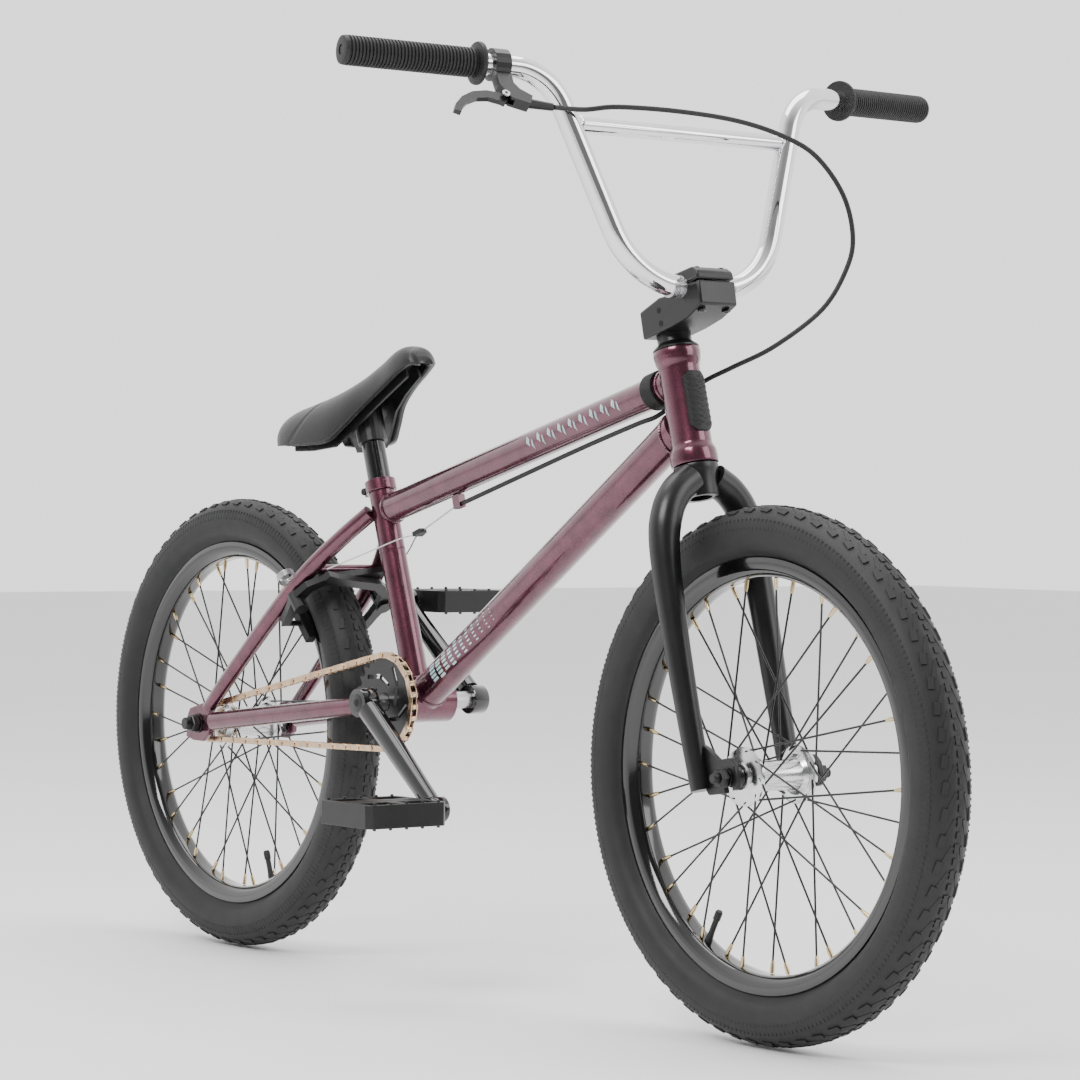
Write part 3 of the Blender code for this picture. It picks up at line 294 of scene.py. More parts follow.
def slab(bm, outline, thick, place, holes=(), index=0):
    """A flat outline, with holes, given a thickness across its own Z."""
    loops = [outline] + list(holes)
    edges = []
    fresh = []
    for loop in loops:
        verts = [bm.verts.new(Vector((x, y, -thick / 2))) for x, y in loop]
        fresh += verts
        edges += [bm.edges.new((a, b)) for a, b in zip(verts, verts[1:] + verts[:1])]
    filled = bmesh.ops.triangle_fill(bm, edges=edges, use_beauty=True, use_dissolve=False)
    faces = [f for f in filled["geom"] if isinstance(f, bmesh.types.BMFace)]
    for face in faces:
        face.material_index = index
    bmesh.ops.dissolve_limit(bm, angle_limit=0.01, verts=list({v for f in faces for v in f.verts}),
                             edges=list({e for f in faces for e in f.edges})) if not holes else None
    faces = [f for f in bm.faces if all(v in set(fresh) for v in f.verts)] if not holes else faces
    grown = bmesh.ops.extrude_face_region(bm, geom=faces)
    top = [v for v in grown["geom"] if isinstance(v, bmesh.types.BMVert)]
    for v in top:
        v.co.z += thick
    for face in grown["geom"]:
        if isinstance(face, bmesh.types.BMFace):
            face.material_index = index
    for v in set(fresh) | set(top):
        if v.is_valid:
            v.co = place @ v.co


def box(bm, low, high, place, index=0):
    made = bmesh.ops.create_cube(bm, size=1.0)
    low, high = Vector(low), Vector(high)
    for v in made["verts"]:
        v.co = place @ Vector([(l + h) / 2 + c * (h - l) for l, h, c in zip(low, high, v.co)])
    for face in {f for v in made["verts"] for f in v.link_faces}:
        face.material_index = index


def ring_arc(cx, cy, radius, start, end, steps):
    turns = [math.radians(start + (end - start) * k / steps) for k in range(steps + 1)]
    return [(cx + radius * math.cos(t), cy + radius * math.sin(t)) for t in turns]


def bolt(bm, start, axis, radius, length, hexagon=0.0, head=0):
    """A round bolt head with a hexagon socket, drawn as a thin flat hexagon in material slot 1: painted shade for the
    socket's hollow.
    """
    place = turned_to(axis, start)
    solid(bm, [(radius, 0), (radius, length * 0.8), (radius * 0.9, length)], place, 20, head)
    if hexagon:
        solid(bm, [(hexagon, length - 0.0001), (hexagon, length + 0.0001)], place, 6, 1)


UPRIGHT = Matrix(((1, 0, 0, 0), (0, 0, -1, 0), (0, 1, 0, 0), (0, 0, 0, 1)))


def upright(at):
    return Matrix.Translation(at) @ UPRIGHT


# ------------------------------------------------------------------ wheels
TREAD = (
    # across, slant in degrees, length, width, radius, shift in pitches
    (0.0000, 0.0, 0.0085, 0.0058, WHEEL - 0.0004, 0.0),
    (0.0000, 0.0, 0.0062, 0.0040, WHEEL - 0.0004, 0.5),
    (0.0082, 24, 0.0175, 0.0042, WHEEL - 0.0020, 0.25),
    (-0.0082, -24, 0.0175, 0.0042, WHEEL - 0.0020, 0.25),
    (0.0150, 10, 0.0120, 0.0060, WHEEL - 0.0042, 0.75),
    (-0.0150, -10, 0.0120, 0.0060, WHEEL - 0.0042, 0.75),
)


def tyre(side, hub, half, body):
    place = turned_to(Y, hub)
    bm = bmesh.new()
    crown = WHEEL - 0.0022
    wide = WHEEL - 0.0285
    run = smooth([(0.2045, 0, 0.0137), (0.2100, 0, 0.0140), (0.2190, 0, half - 0.0036), (wide, 0, half - 0.0006),
                  (WHEEL - 0.0150, 0, half - 0.0036), (crown - 0.0045, 0, 0.0160), (crown, 0, 0.0070),
                  (crown + 0.0002, 0, 0)], 5)
    outer = [(p.x, p.z) for p in run]
    outer += [(r, -y) for r, y in outer[-2::-1]]
    lathe(bm, outer + [(0.2045, -0.0110), (0.2140, 0), (0.2045, 0.0110)], place, 160)
    # Tread: a centre row, slanted blocks beside it, shoulder blocks and a knurled edge.
    pitches = 66
    for index in range(pitches):
        for y0, slant, length, width, radius, shift in TREAD:
            turn = 2 * math.pi * (index + shift) / pitches
            lean = math.radians(0 if abs(y0) < 0.001 else (28 if abs(y0) < 0.01 else 46)) * (1 if y0 > 0 else -1)
            spot = place @ Matrix.Rotation(turn, 4, "Z") @ Matrix.Translation((radius - 0.0016, 0, y0))
            spot = spot @ Matrix.Rotation(-lean * 0.75, 4, "Y") @ Matrix.Rotation(math.radians(slant), 4, "X")
            box(bm, (-0.0010, -length / 2, -width / 2), (0.0012, length / 2, width / 2), spot)
    for index in range(264):
        turn = 2 * math.pi * index / 264
        for sign in (1, -1):
            spot = place @ Matrix.Rotation(turn, 4, "Z") @ Matrix.Translation((WHEEL - 0.0190, 0, sign * (half - 0.0026)))
            spot = spot @ Matrix.Rotation(sign * math.radians(16), 4, "Y")
            box(bm, (-0.0052, -0.0012, -0.0006), (0.0052, 0.0012, 0.0010), spot)
    put(bm, f"{side}_tyre_treaded", TYRE, body, [f"{side}_tyre"], split=30)


def rim(side, hub, body):
    place = turned_to(Y, hub)
    bm = bmesh.new()
    half = [(0.1905, 0.0040), (0.1908, 0.0088), (0.1925, 0.0112), (0.1965, 0.0150), (0.1985, 0.0159), (0.2070, 0.0159),
            (0.2090, 0.0156), (0.2095, 0.0150), (0.2094, 0.0143), (0.2015, 0.0141), (0.2005, 0.0120)]
    lathe(bm, half + [(r, -y) for r, y in half[::-1]], place, 160)
    put(bm, f"{side}_rim_polished", GLOSS, body, [f"{side}_rim"], split=40)


def lacing(side, hub, flanges, profile, body, holes):
    """The hub shell, its 36 spokes laced three cross, and the nipples."""
    place = turned_to(Y, hub)
    shell = bmesh.new()
    lathe(shell, profile, place, 72)
    # Thin near-black discs on both faces of each flange at the spoke holes: painted shade for the holes.
    for flange, inward in flanges:
        for k in range(holes):
            spot = place @ Matrix.Rotation(2 * math.pi * (k + 0.5) / holes, 4, "Z")
            for sign in (1, -1):
                spot2 = spot @ Matrix.Translation((0.0245, 0, flange + sign * 0.00165))
                solid(shell, [(0.0013, -0.0001), (0.0013, 0.0001)], spot2, 10, 1)
    put(shell, f"{side}_hub_shell", [ALLOY, HOLE_SHADE], body, [f"{side}_hub"], split=30)
    wires, caps = bmesh.new(), bmesh.new()
    for flange, inward in flanges:
        for index in range(18):
            lead = 1 if index % 2 else -1
            rim_turn = 2 * math.pi * (2 * index + (flange > 0)) / 36
            hub_turn = rim_turn + lead * math.radians(62)
            head = Vector((0.0245 * math.cos(hub_turn), 0.0245 * math.sin(hub_turn), flange + lead * 0.0020))
            tip = Vector((0.1900 * math.cos(rim_turn), 0.1900 * math.sin(rim_turn), inward + lead * 0.0006))
            a, b = place @ head, place @ tip
            sweep(wires, [a, b], 0.00105, 8)
            bend = place @ Vector((head.x, head.y, flange - lead * 0.0022))
            sweep(wires, [a, bend], 0.00105, 8)
            sweep(caps, [b.lerp(a, 0.002), b.lerp(a, 0.040), b.lerp(a, 0.066)], [0.0022, 0.0021, 0.0015], 8)
    put(wires, f"{side}_spokes", SATIN, body, split=60)
    put(caps, f"{side}_nipples", BRASS, body, split=60)
    stem = bmesh.new()
    turn = math.radians(-62 if side == "front" else -110)
    at = place @ Vector((0.1915 * math.cos(turn), 0.1915 * math.sin(turn), 0))
    inwards = (hub - at).normalized()
    solid(stem, [(0.0040, 0), (0.0036, 0.006), (0.0030, 0.012), (0.0030, 0.026), (0.0038, 0.0265), (0.0038, 0.034),
                 (0.0030, 0.036)], turned_to(inwards, at), 20)
    put(stem, f"{side}_valve", RUBBER, body)


for side, hub, half in (("front", FRONT, 0.0290), ("rear", REAR, 0.0272)):
    tyre(side, hub, half, f"{side}_wheel")
    rim(side, hub, f"{side}_wheel")
half_hub = [(0.0125, 0.0400), (0.0125, 0.0370), (0.0150, 0.0362), (0.0270, 0.0357), (0.0285, 0.0348), (0.0285, 0.0322),
            (0.0272, 0.0314), (0.0200, 0.0310), (0.0165, 0.0275), (0.0150, 0.0215), (0.0147, 0.0100)]
lacing("front", FRONT, ((0.0335, 0.004), (-0.0335, -0.004)),
       half_hub + [(r, -y) for r, y in half_hub[::-1]] + [(0.0056, -0.0400), (0.0056, 0.0400)], "front_wheel", 18)
lacing("rear", REAR, ((0.0360, 0.004), (-0.0235, -0.004)),
       [(0.0150, 0.0450), (0.0150, 0.0400), (0.0225, 0.0384), (0.0272, 0.0380), (0.0285, 0.0372), (0.0285, 0.0348),
        (0.0272, 0.0340), (0.0215, 0.0336), (0.0180, 0.0280), (0.0170, 0.0200), (0.0170, -0.0120), (0.0190, -0.0190),
        (0.0230, -0.0213), (0.0272, -0.0215), (0.0285, -0.0223), (0.0285, -0.0247), (0.0272, -0.0255),
        (0.0225, -0.0259), (0.0200, -0.0330), (0.0150, -0.0345), (0.0076, -0.0345), (0.0076, 0.0450)], "rear_wheel", 18)


def axle_set(side, hub, radius, reach, face, nut, cone, body):
    bm = bmesh.new()
    for sign in (1, -1):
        place = turned_to(Y * sign, hub)
        solid(bm, [(radius * 0.93, 0), (radius * 0.93, reach - 0.001), (radius * 0.80, reach)], place, 24)
        for k in range(int((reach - face - 0.018) / 0.0011)):
            z = face + 0.0182 + k * 0.0011
            lathe(bm, [(radius * 0.93, z), (radius, z + 0.0004), (radius * 0.93, z + 0.0008)], place, 24)
        solid(bm, [(radius * 1.95, cone + 0.0004), (radius * 2.0, face - 0.0012), (radius * 1.8, face - 0.0004)], place, 40)
        start = face + 0.0064
        lathe(bm, [(nut * 1.0, start), (nut * 1.0, start + 0.0018), (radius, start + 0.0018), (radius, start)], place, 40)
        lathe(bm, [(nut * 0.86, start + 0.0018), (nut * 0.96, start + 0.0030), (nut * 0.96, start + 0.0100),
                   (nut * 0.84, start + 0.0112), (radius, start + 0.0112), (radius, start + 0.0018)], place, 6)
    put(bm, f"{side}_axle_set", SATIN, body, [f"{side}_axle"], bevel=0.0003, split=30)


axle_set("rear", REAR, 0.0070, 0.0800, 0.0550, 0.0110, 0.0505, "frame")
axle_set("front", FRONT, 0.0050, 0.0740, 0.0500, 0.0095, 0.0403, "steering")

# ------------------------------------------------------------------ frame tubes and their welds
frame_bm = bmesh.new()


def bead(bm, centre, normal, tilt_normal, radius, size=0.0016, lumps=44):
    """A rippled weld bead round a tube of this radius, in the plane where it meets the next tube."""
    axis = Vector(normal).normalized()
    plane = Vector(tilt_normal).normalized()
    side = axis.orthogonal().normalized()
    other = axis.cross(side)
    route = []
    for k in range(lumps * 3 + 1):
        a = 2 * math.pi * k / (lumps * 3)
        ray = side * math.cos(a) + other * math.sin(a)
        p = centre + ray * radius
        slip = -(p - centre).dot(plane) / axis.dot(plane)
        route.append(p + axis * slip)
    sweep(bm, route, [size * (1.0 + 0.18 * (k % 3 == 0)) for k in range(len(route))], 8)


line = (TOP_B - TOP_A).normalized()
sweep(frame_bm, [TOP_A + line * 0.012, TOP_A + line * 0.2, TOP_B - line * 0.014], 0.0159, 48)
line_down = (DOWN_B - BB).normalized()
sweep(frame_bm, [BB + line_down * 0.015, BB.lerp(DOWN_B, 0.5), DOWN_B - line_down * 0.014], 0.01905, 48)
seat_place = turned_to(SEAT_UP, BB)
lathe(frame_bm, [(0.0143, 0.020), (0.0143, 0.2385), (0.0131, 0.2385), (0.0131, 0.020)], seat_place, 48)
lathe(frame_bm, [(0.0235, 0.0334), (0.0229, 0.034), (0.0207, 0.034), (0.0207, -0.034), (0.0229, -0.034),
                 (0.0235, -0.0334)], turned_to(Y, BB), 64)
bead(frame_bm, TOP_A + line * 0.0165, line, line, 0.0159)
bead(frame_bm, TOP_B - line * 0.0215, line, AHEAD, 0.0159)
bead(frame_bm, DOWN_B - line_down * 0.0245, line_down, AHEAD, 0.01905)
bead(frame_bm, BB + line_down * 0.0230, line_down, line_down, 0.0187)
bead(frame_bm, BB + SEAT_UP * 0.0232, SEAT_UP, SEAT_UP, 0.0143)
put(frame_bm, "main_tubes", PAINT, "frame", ["top_tube", "down_tube", "seat_tube", "bb_shell"], split=40)

head_bm = bmesh.new()
head_place = turned_to(UP, HEAD)
flare, waist, top = 0.0238, 0.0205, 0.118
run = [(flare - 0.0012, top), (flare - 0.0004, top - 0.0004), (flare, top - 0.0016), (flare, top - 0.0058),
       (flare - 0.0005, top - 0.0080)]
run += [(waist + 0.0026 * (0.5 + 0.5 * math.cos(math.pi * k / 8)), top - 0.0085 - 0.012 * k / 8) for k in range(1, 9)]
run += [(waist, 0.022)] + [(waist + 0.0030 * (0.5 - 0.5 * math.cos(math.pi * k / 8)), 0.022 - 0.0100 * k / 8)
                           for k in range(1, 9)]
run += [(flare, 0.0100), (flare, 0.0016), (flare - 0.0004, 0.0004), (flare - 0.0012, 0)]
lathe(head_bm, run + [(0.0209, 0), (0.0209, 0.0078), (0.0175, 0.0078), (0.0175, top - 0.0078),
                      (0.0209, top - 0.0078), (0.0209, top)], head_place, 72)
# Two small near-black discs on the head tube at its holes: painted shade for the holes.
for turn, height in ((-118, 0.1010), (-118, 0.0935)):
    ray = AHEAD * math.cos(math.radians(turn)) + Y * math.sin(math.radians(turn))
    solid(head_bm, [(0.0015, 0), (0.0015, 0.0002)], turned_to(ray, HEAD + UP * height + ray * 0.0206), 14, 1)
put(head_bm, "head_tube_turned", [PAINT, HOLE_SHADE], "frame", ["head_tube"], split=35)

stays = bmesh.new()
chain_line = (REAR - BB).normalized()
stay_line = (STAY_TOP - REAR).normalized()
stay_length = (STAY_TOP - REAR).length
for side, sign in SIDES.items():
    run = [(0.010, 0.0225), (0.055, 0.0295), (0.130, 0.0415), (0.215, 0.0500), (0.325, 0.0580)]
    sweep(stays, smooth([BB + chain_line * a + Vector((0, sign * b, 0)) for a, b in run], 8), 0.0105, 32)
    run = [(0.0285, 0.0600), (0.080, 0.0595), (0.190, 0.0550), (0.265, 0.0480), (0.325, 0.0320),
           (stay_length - 0.005, 0.0150)]
    route = smooth([REAR + stay_line * a + Vector((0, sign * b, 0)) for a, b in run], 8)
    sweep(stays, route, [0.0095 * min(1.0, 0.80 + 0.20 * k / 16) for k in range(len(route))], 32)
    solid(stays, [(0.0066, 0), (0.0066, 0.0008)], turned_to(Y * sign, REAR + stay_line * 0.0262 + Y * sign * 0.0606), 20)
bridge = REAR + stay_line * 0.274
sweep(stays, [bridge - Y * 0.036, bridge + Y * 0.036], 0.0055, 28)
put(stays, "stays", PAINT, "frame", ["chainstay_right", "chainstay_left", "seatstay_right", "seatstay_left",
                                      "seatstay_bridge"], split=45)

drops = bmesh.new()
for side, sign in SIDES.items():
    slot, web = 0.0075, 0.0205
    outline = [(-0.024, slot), (0.003, slot)] + ring_arc(0.003, 0, slot, 60, -60, 8) + [(0.003, -slot)]
    outline += [(-0.024, -slot), (-0.026, -web + 0.004), (-0.010, -web), (0.010, -web), (0.0225, -0.012)]
    outline += [(0.0240, 0.004), (0.0215, 0.0165), (0.008, web + 0.003), (-0.018, web - 0.004)]
    slab(drops, outline, 0.006, upright(REAR + Y * sign * 0.058))
put(drops, "rear_dropouts", PAINT, "frame", ["dropout_right", "dropout_left"], bevel=0.0009)

# ------------------------------------------------------------------ fork
fork = bmesh.new()
lathe(fork, [(0.0143, 0.1640), (0.0143, 0.0), (0.0205, -0.0004), (0.0222, -0.0012), (0.0226, -0.0030),
             (0.0218, -0.0070), (0.0206, -0.0120), (0.0196, -0.0240), (0.0188, -0.0325), (0.0180, -0.0330),
             (0.0118, -0.0330), (0.0118, 0.1640)], head_place, 56)
for side, sign in SIDES.items():
    drop = -0.3175
    run = [(0.006, 0.0145, -0.0150), (0.005, 0.0340, -0.0280), (0.003, 0.0480, -0.0480), (0.000, 0.0560, -0.0800),
           (-0.002, 0.0585, -0.1400), (-0.003, 0.0585, -0.2300), (-0.003, 0.0575, drop - 0.0050)]
    route = smooth([point(x, sign * y, z) for x, y, z in run], 8)
    radii = [0.0160 * min(1.0, 1.0 - 0.34 * (k - 20) / (len(route) - 21)) for k in range(len(route))]
    sweep(fork, route, radii, 40)
put(fork, "fork_blades", SATIN, "steering", ["fork_leg_right", "fork_leg_left", "fork_steerer"], split=40)
tips = bmesh.new()
for side, sign in SIDES.items():
    slot = 0.0055
    outline = [(slot, -0.014), (slot, 0.0)] + ring_arc(0, 0, slot, 20, 160, 8) + [(-slot, 0.0), (-slot, -0.014)]
    outline += [(-0.0150, -0.0130), (-0.0300, -0.0110), (-0.0380, 0.0060), (-0.0340, 0.0420)]
    outline += [(-0.0220, 0.0340), (-0.0080, 0.0190), (0.0080, 0.0175), (0.0135, 0.0090), (0.0140, -0.0060)]
    outline += [(0.0110, -0.0130)]
    tilt = Matrix((AHEAD, -Y, UP)).transposed().to_4x4() @ Matrix(((1, 0, 0, 0), (0, 0, 1, 0), (0, 1, 0, 0), (0, 0, 0, 1)))
    slab(tips, outline, 0.006, Matrix.Translation(point(0.034, sign * 0.053, -0.3175)) @ tilt)
put(tips, "fork_tips", SATIN, "steering", bevel=0.0008)

# ------------------------------------------------------------------ stem and headset
cap = bmesh.new()
lathe(cap, [(0.0172, 0.1339), (0.0172, 0.1258), (0.0176, 0.1250), (0.0222, 0.1212), (0.0232, 0.1200), (0.0232, 0.1184),
            (0.0147, 0.1184), (0.0147, 0.1339)], head_place, 64)
put(cap, "headset_cone", SATIN, "steering", ["headset_cap"], split=30)
side_view = Matrix((AHEAD, UP, -Y)).transposed().to_4x4()
stem_place = Matrix.Translation(HEAD) @ side_view
stem = bmesh.new()
low, split_line = 0.1342, 0.1675
slab(stem, [(-0.0200, low), (0.0240, low), (0.0500, low + 0.0020), (0.0745, 0.1425), (0.0765, split_line - 0.0008),
            (0.0240, split_line - 0.0008), (0.0130, split_line + 0.0005), (-0.0190, 0.1625)], 0.047, stem_place)
slab(stem, [(0.0240, split_line + 0.0008), (0.0765, split_line + 0.0008), (0.0755, 0.1765), (0.0690, 0.1825),
            (0.0400, 0.1835), (0.0270, 0.1770)], 0.047, stem_place)
put(stem, "stem_blocks", SATIN, "steering", ["stem_body", "stem_cap"], bevel=0.0022, segments=3)
bolts = bmesh.new()
for side in (-0.0155, 0.0155):
    for ahead, height in ((0.0335, 0.1798), (0.0655, 0.1815)):
        bolt(bolts, point(ahead, side, height - 0.0010), UP, 0.0046, 0.0022, 0.0026)
    bolt(bolts, point(0.0655, side, 0.1392), -UP, 0.0044, 0.0012, 0.0026)
# Each bolt's hexagon and the near-black disc on the stem's side are painted shade for the socket and the hole.
for height in (0.1420, 0.1555):
    bolt(bolts, point(-0.0196, -0.0120, height), -AHEAD, 0.0044, 0.0012, 0.0024)
    solid(bolts, [(0.0030, 0), (0.0030, 0.0002)], turned_to(-Y, point(0.0110, -0.0235, height)), 16, 1)
put(bolts, "stem_bolts", [SATIN, HOLE_SHADE], "steering", split=30)
plug = bmesh.new()
solid(plug, [(0.0160, 0.1642), (0.0160, 0.1665), (0.0150, 0.1675)], head_place, 48)
bolt(plug, point(0, 0, 0.1668), UP, 0.0060, 0.0022, 0.0030)
put(plug, "steerer_plug", [SATIN, HOLE_SHADE], "steering", split=30)

# ------------------------------------------------------------------ bars, bar welds, knurl and grips
corner_low, corner_high, bar_end = (0.0490, 0.0812, 0.1675), (0.0638, 0.1589, 0.3751), (0.0257, 0.3710, 0.3916)
left = [point(*corner_low), point(*corner_high), point(*bar_end)]
corners = [Vector((p.x, -p.y, p.z)) for p in left[::-1]] + left
bars = bmesh.new()
sweep(bars, bent(corners, (0.058, 0.085, 0.085, 0.058)), 0.0111, 40)
brace = left[0].lerp(left[1], 0.752)
sweep(bars, [Vector((brace.x, -brace.y, brace.z)), brace], 0.0080, 32)
put(bars, "chrome_bars", CHROME, "steering", ["handlebar"], split=50)
welds = bmesh.new()
for sign in (1, -1):
    bead(welds, Vector((brace.x, sign * (brace.y - 0.0118), brace.z)), Y, Y, 0.0080, 0.0013, 26)
put(welds, "bar_welds", CHROME, "steering", split=60)
knurl = bmesh.new()
for sign in (1, -1):
    for k in range(9):
        solid(knurl, [(0.0112, 0), (0.01135, 0.0006), (0.0112, 0.0012)],
              turned_to(Y * sign, point(0.0490, sign * (0.0242 + 0.0017 * k), 0.1675)), 40)
put(knurl, "bar_knurl", STEEL_MAT, "steering", split=20)
for side, sign in SIDES.items():
    end = Vector((left[2].x, sign * left[2].y, left[2].z))
    corner = Vector((left[1].x, sign * left[1].y, left[1].z))
    place = turned_to(corner - end, end)
    grip = bmesh.new()
    run = [(0.0050, -0.0011), (0.0120, -0.0011), (0.0136, -0.0004), (0.0144, 0.0030)]
    z = 0.0040
    while z < 0.134:
        run += [(0.0130, z), (0.0130, z + 0.0009), (0.01445, z + 0.0014), (0.01445, z + 0.0030)]
        z += 0.0036
    run += [(0.0142, 0.1370), (0.0204, 0.1385), (0.0209, 0.1398), (0.0209, 0.1420), (0.0204, 0.1430), (0.01115, 0.1430)]
    lathe(grip, run + [(0.01115, -0.0003), (0.0, -0.0003), (0.0, -0.0010)], place, 48, closed=False)
    put(grip, f"grip_{side}_ribbed", RUBBER, "steering", [f"grip_{side}"], split=35)

# ------------------------------------------------------------------ drivetrain
def pitch_radius(teeth):
    return 0.0127 / 2 / math.sin(math.pi / teeth)


BIG, SMALL = pitch_radius(25), pitch_radius(9)
CHAIN_AT = Vector((0, -0.0455, 0))
span = REAR - BB
lean = math.asin((BIG - SMALL) / span.length)
facing = math.atan2(span.z, span.x)


def around_loop(share):
    """A point on the chain's own pitch line."""
    wrap = math.pi / 2 - lean
    straight = span.length * math.cos(lean)
    lengths = (BIG * (2 * math.pi - 2 * wrap), straight, SMALL * 2 * wrap, straight)
    run = share % sum(lengths)
    start = facing + wrap
    if run < lengths[0]:
        a = start + run / BIG
        return Vector((BIG * math.cos(a), 0, BIG * math.sin(a)))
    run -= lengths[0]
    a = start + lengths[0] / BIG
    way = Vector((-math.sin(a), 0, math.cos(a)))
    if run < lengths[1]:
        return Vector((BIG * math.cos(a), 0, BIG * math.sin(a))) + way * run
    run -= lengths[1]
    if run < lengths[2]:
        b = a + run / SMALL
        return Vector((span.x + SMALL * math.cos(b), 0, span.z + SMALL * math.sin(b)))
    run -= lengths[2]
    b = a + lengths[2] / SMALL
    way = Vector((-math.sin(b), 0, math.cos(b)))
    return Vector((span.x + SMALL * math.cos(b), 0, span.z + SMALL * math.sin(b))) + way * run


total = BIG * (math.pi + 2 * lean) + SMALL * (math.pi - 2 * lean) + 2 * span.length * math.cos(lean)
links = round(total / 0.0127 / 2) * 2
step = total / links
chain, pins = bmesh.new(), bmesh.new()
eye = 0.0040
for k in range(links):
    here = around_loop(k * step)
    there = around_loop((k + 1) * step)
    way = there - here
    length = way.length
    turn = math.atan2(way.z, way.x)
    outline = ring_arc(0, 0, eye, 130, 230, 5) + [(length * 0.5, -0.0031)] + ring_arc(length, 0, eye, -50, 50, 5)
    outline += [(length * 0.5, 0.0031)]
    offset = 0.0037 if k % 2 else 0.0027
    for sign in (1, -1):
        place = upright(BB + CHAIN_AT + here + Y * sign * offset) @ Matrix.Rotation(turn, 4, "Z")
        slab(chain, outline, 0.0009, place)
    solid(pins, [(0.0018, -0.0043), (0.0018, 0.0043)], turned_to(Y, BB + CHAIN_AT + here), 10)
    solid(pins, [(0.0034, -0.0020), (0.0034, 0.0020)], turned_to(Y, BB + CHAIN_AT + here), 14)
put(chain, "chain_plates", GOLD, "frame", ["chain"], split=30)
put(pins, "chain_rollers", GOLD, "frame", split=30)


def toothed(teeth, shift=0.0):
    pitch = pitch_radius(teeth)
    outline = []
    for tooth in range(teeth):
        for share, radius in ((-0.18, pitch - 0.0038), (0.0, pitch - 0.0042), (0.18, pitch - 0.0038),
                              (0.38, pitch + 0.0006), (0.46, pitch + 0.0019), (0.54, pitch + 0.0019), (0.62, pitch + 0.0006)):
            turn = 2 * math.pi * (tooth + share) / teeth + shift
            outline.append((radius * math.cos(turn), radius * math.sin(turn)))
    return outline


disc = bmesh.new()
slots = []
for k in range(5):
    a = math.radians(72 * k + 20)
    for row, (r, tall) in enumerate(((0.0225, 0.0080), (0.0335, 0.0100))):
        b = a + row * 0.62
        cx, cy = r * math.cos(b), r * math.sin(b)
        t = b + math.radians(58)
        ux, uy, vx, vy = math.cos(t), math.sin(t), -math.sin(t), math.cos(t)
        ring = ring_arc(tall, 0, 0.0024, -90, 90, 5) + ring_arc(-tall, 0, 0.0024, 90, 270, 5)
        slots.append([(cx + ux * x + vx * y, cy + uy * x + vy * y) for x, y in ring][::-1])
slab(disc, toothed(25), 0.0029, upright(BB + CHAIN_AT), [ring_arc(0, 0, 0.0101, 0, -352, 44)] + slots)
put(disc, "sprocket_disc", SATIN, "crankset", ["sprocket"], split=30)
cog = bmesh.new()
slab(cog, toothed(9), 0.0029, upright(REAR + CHAIN_AT), [ring_arc(0, 0, 0.0078, 0, -345, 23)])
put(cog, "driver_cog", STEEL_MAT, "freewheel_driver", ["driver"], split=30)

tip = Vector((math.cos(math.radians(-36.5)), 0, math.sin(math.radians(-36.5)))) * 0.175
for side, sign in SIDES.items():
    end = -sign * tip
    out = Y * sign
    arm = bmesh.new()
    place = turned_to(out, BB)
    lathe(arm, [(0.0152, 0.0640), (0.0160, 0.0648), (0.0160, 0.0818), (0.0150, 0.0832), (0.0099, 0.0834), (0.0099, 0.0640)],
          place, 56)
    along = end.normalized()
    sweep(arm, [BB + along * 0.0130 + out * 0.0735, BB + end * 0.5 + out * 0.0762, BB + end * 0.965 + out * 0.0790],
          [0.0128, 0.0113, 0.0098], 40)
    lathe(arm, [(0.0125, 0.0697), (0.0134, 0.0706), (0.0134, 0.0872), (0.0125, 0.0884), (0.0069, 0.0884), (0.0069, 0.0697)],
          turned_to(out, BB + end), 48)
    put(arm, f"crank_{side}_tubular", GLOSS, "crankset", [f"crank_arm_{side}"], split=40)
    trim = bmesh.new()
    solid(trim, [(0.0098, 0.0800), (0.0098, 0.0834), (0.0088, 0.0838)], place, 40)
    # A flat near-black hexagon on the bolt's face: painted shade for its socket.
    solid(trim, [(0.0044, 0.0837), (0.0044, 0.0840)], place, 6, 1)
    put(trim, f"crank_bolt_{side}", [SATIN, HOLE_SHADE], "crankset", split=30)
    centre = BB + end
    pedal = bmesh.new()
    low, high, wide, thick = 0.0960, 0.1960, 0.0455, 0.0122
    mid = sign * (low + high) / 2
    flat_on = Matrix.Translation(centre + Vector((0, mid, 0)))
    edge = [(-wide + 0.006, -0.05), (wide - 0.006, -0.05), (wide, -0.044), (wide, 0.044), (wide - 0.006, 0.05),
            (-wide + 0.006, 0.05), (-wide, 0.044), (-wide, -0.044)]
    windows = []
    for x in (-1, 1):
        for y in (-1, 1):
            cx, cy, a, b = x * 0.0275, y * 0.0240, 0.0120, 0.0185
            windows.append([(cx - a, cy - b), (cx - a, cy + b), (cx + a, cy + b), (cx + a, cy - b)])
    slab(pedal, edge, 2 * thick, flat_on, windows)
    lathe(pedal, [(0.0124, 0.0965), (0.0126, 0.0975), (0.0126, 0.1945), (0.0120, 0.1955), (0.0072, 0.1955), (0.0072, 0.0965)],
          turned_to(out, centre), 40)
    body = f"{side}_pedal"
    put(pedal, f"pedal_{side}_moulded", PLASTIC, body, [f"pedal_{side}"], bevel=0.0016)
    studs = bmesh.new()
    for x in (-0.0415, 0.0415):
        for y in (-0.040, -0.020, 0.0, 0.020, 0.040):
            for face in (1, -1):
                solid(studs, [(0.0019, 0), (0.0017, 0.0022), (0.0012, 0.0028)],
                      turned_to(Vector((0, 0, face)), centre + Vector((x, mid + y, face * 0.0115))), 12)
    put(studs, f"pedal_{side}_pins", PLASTIC, body, split=30)

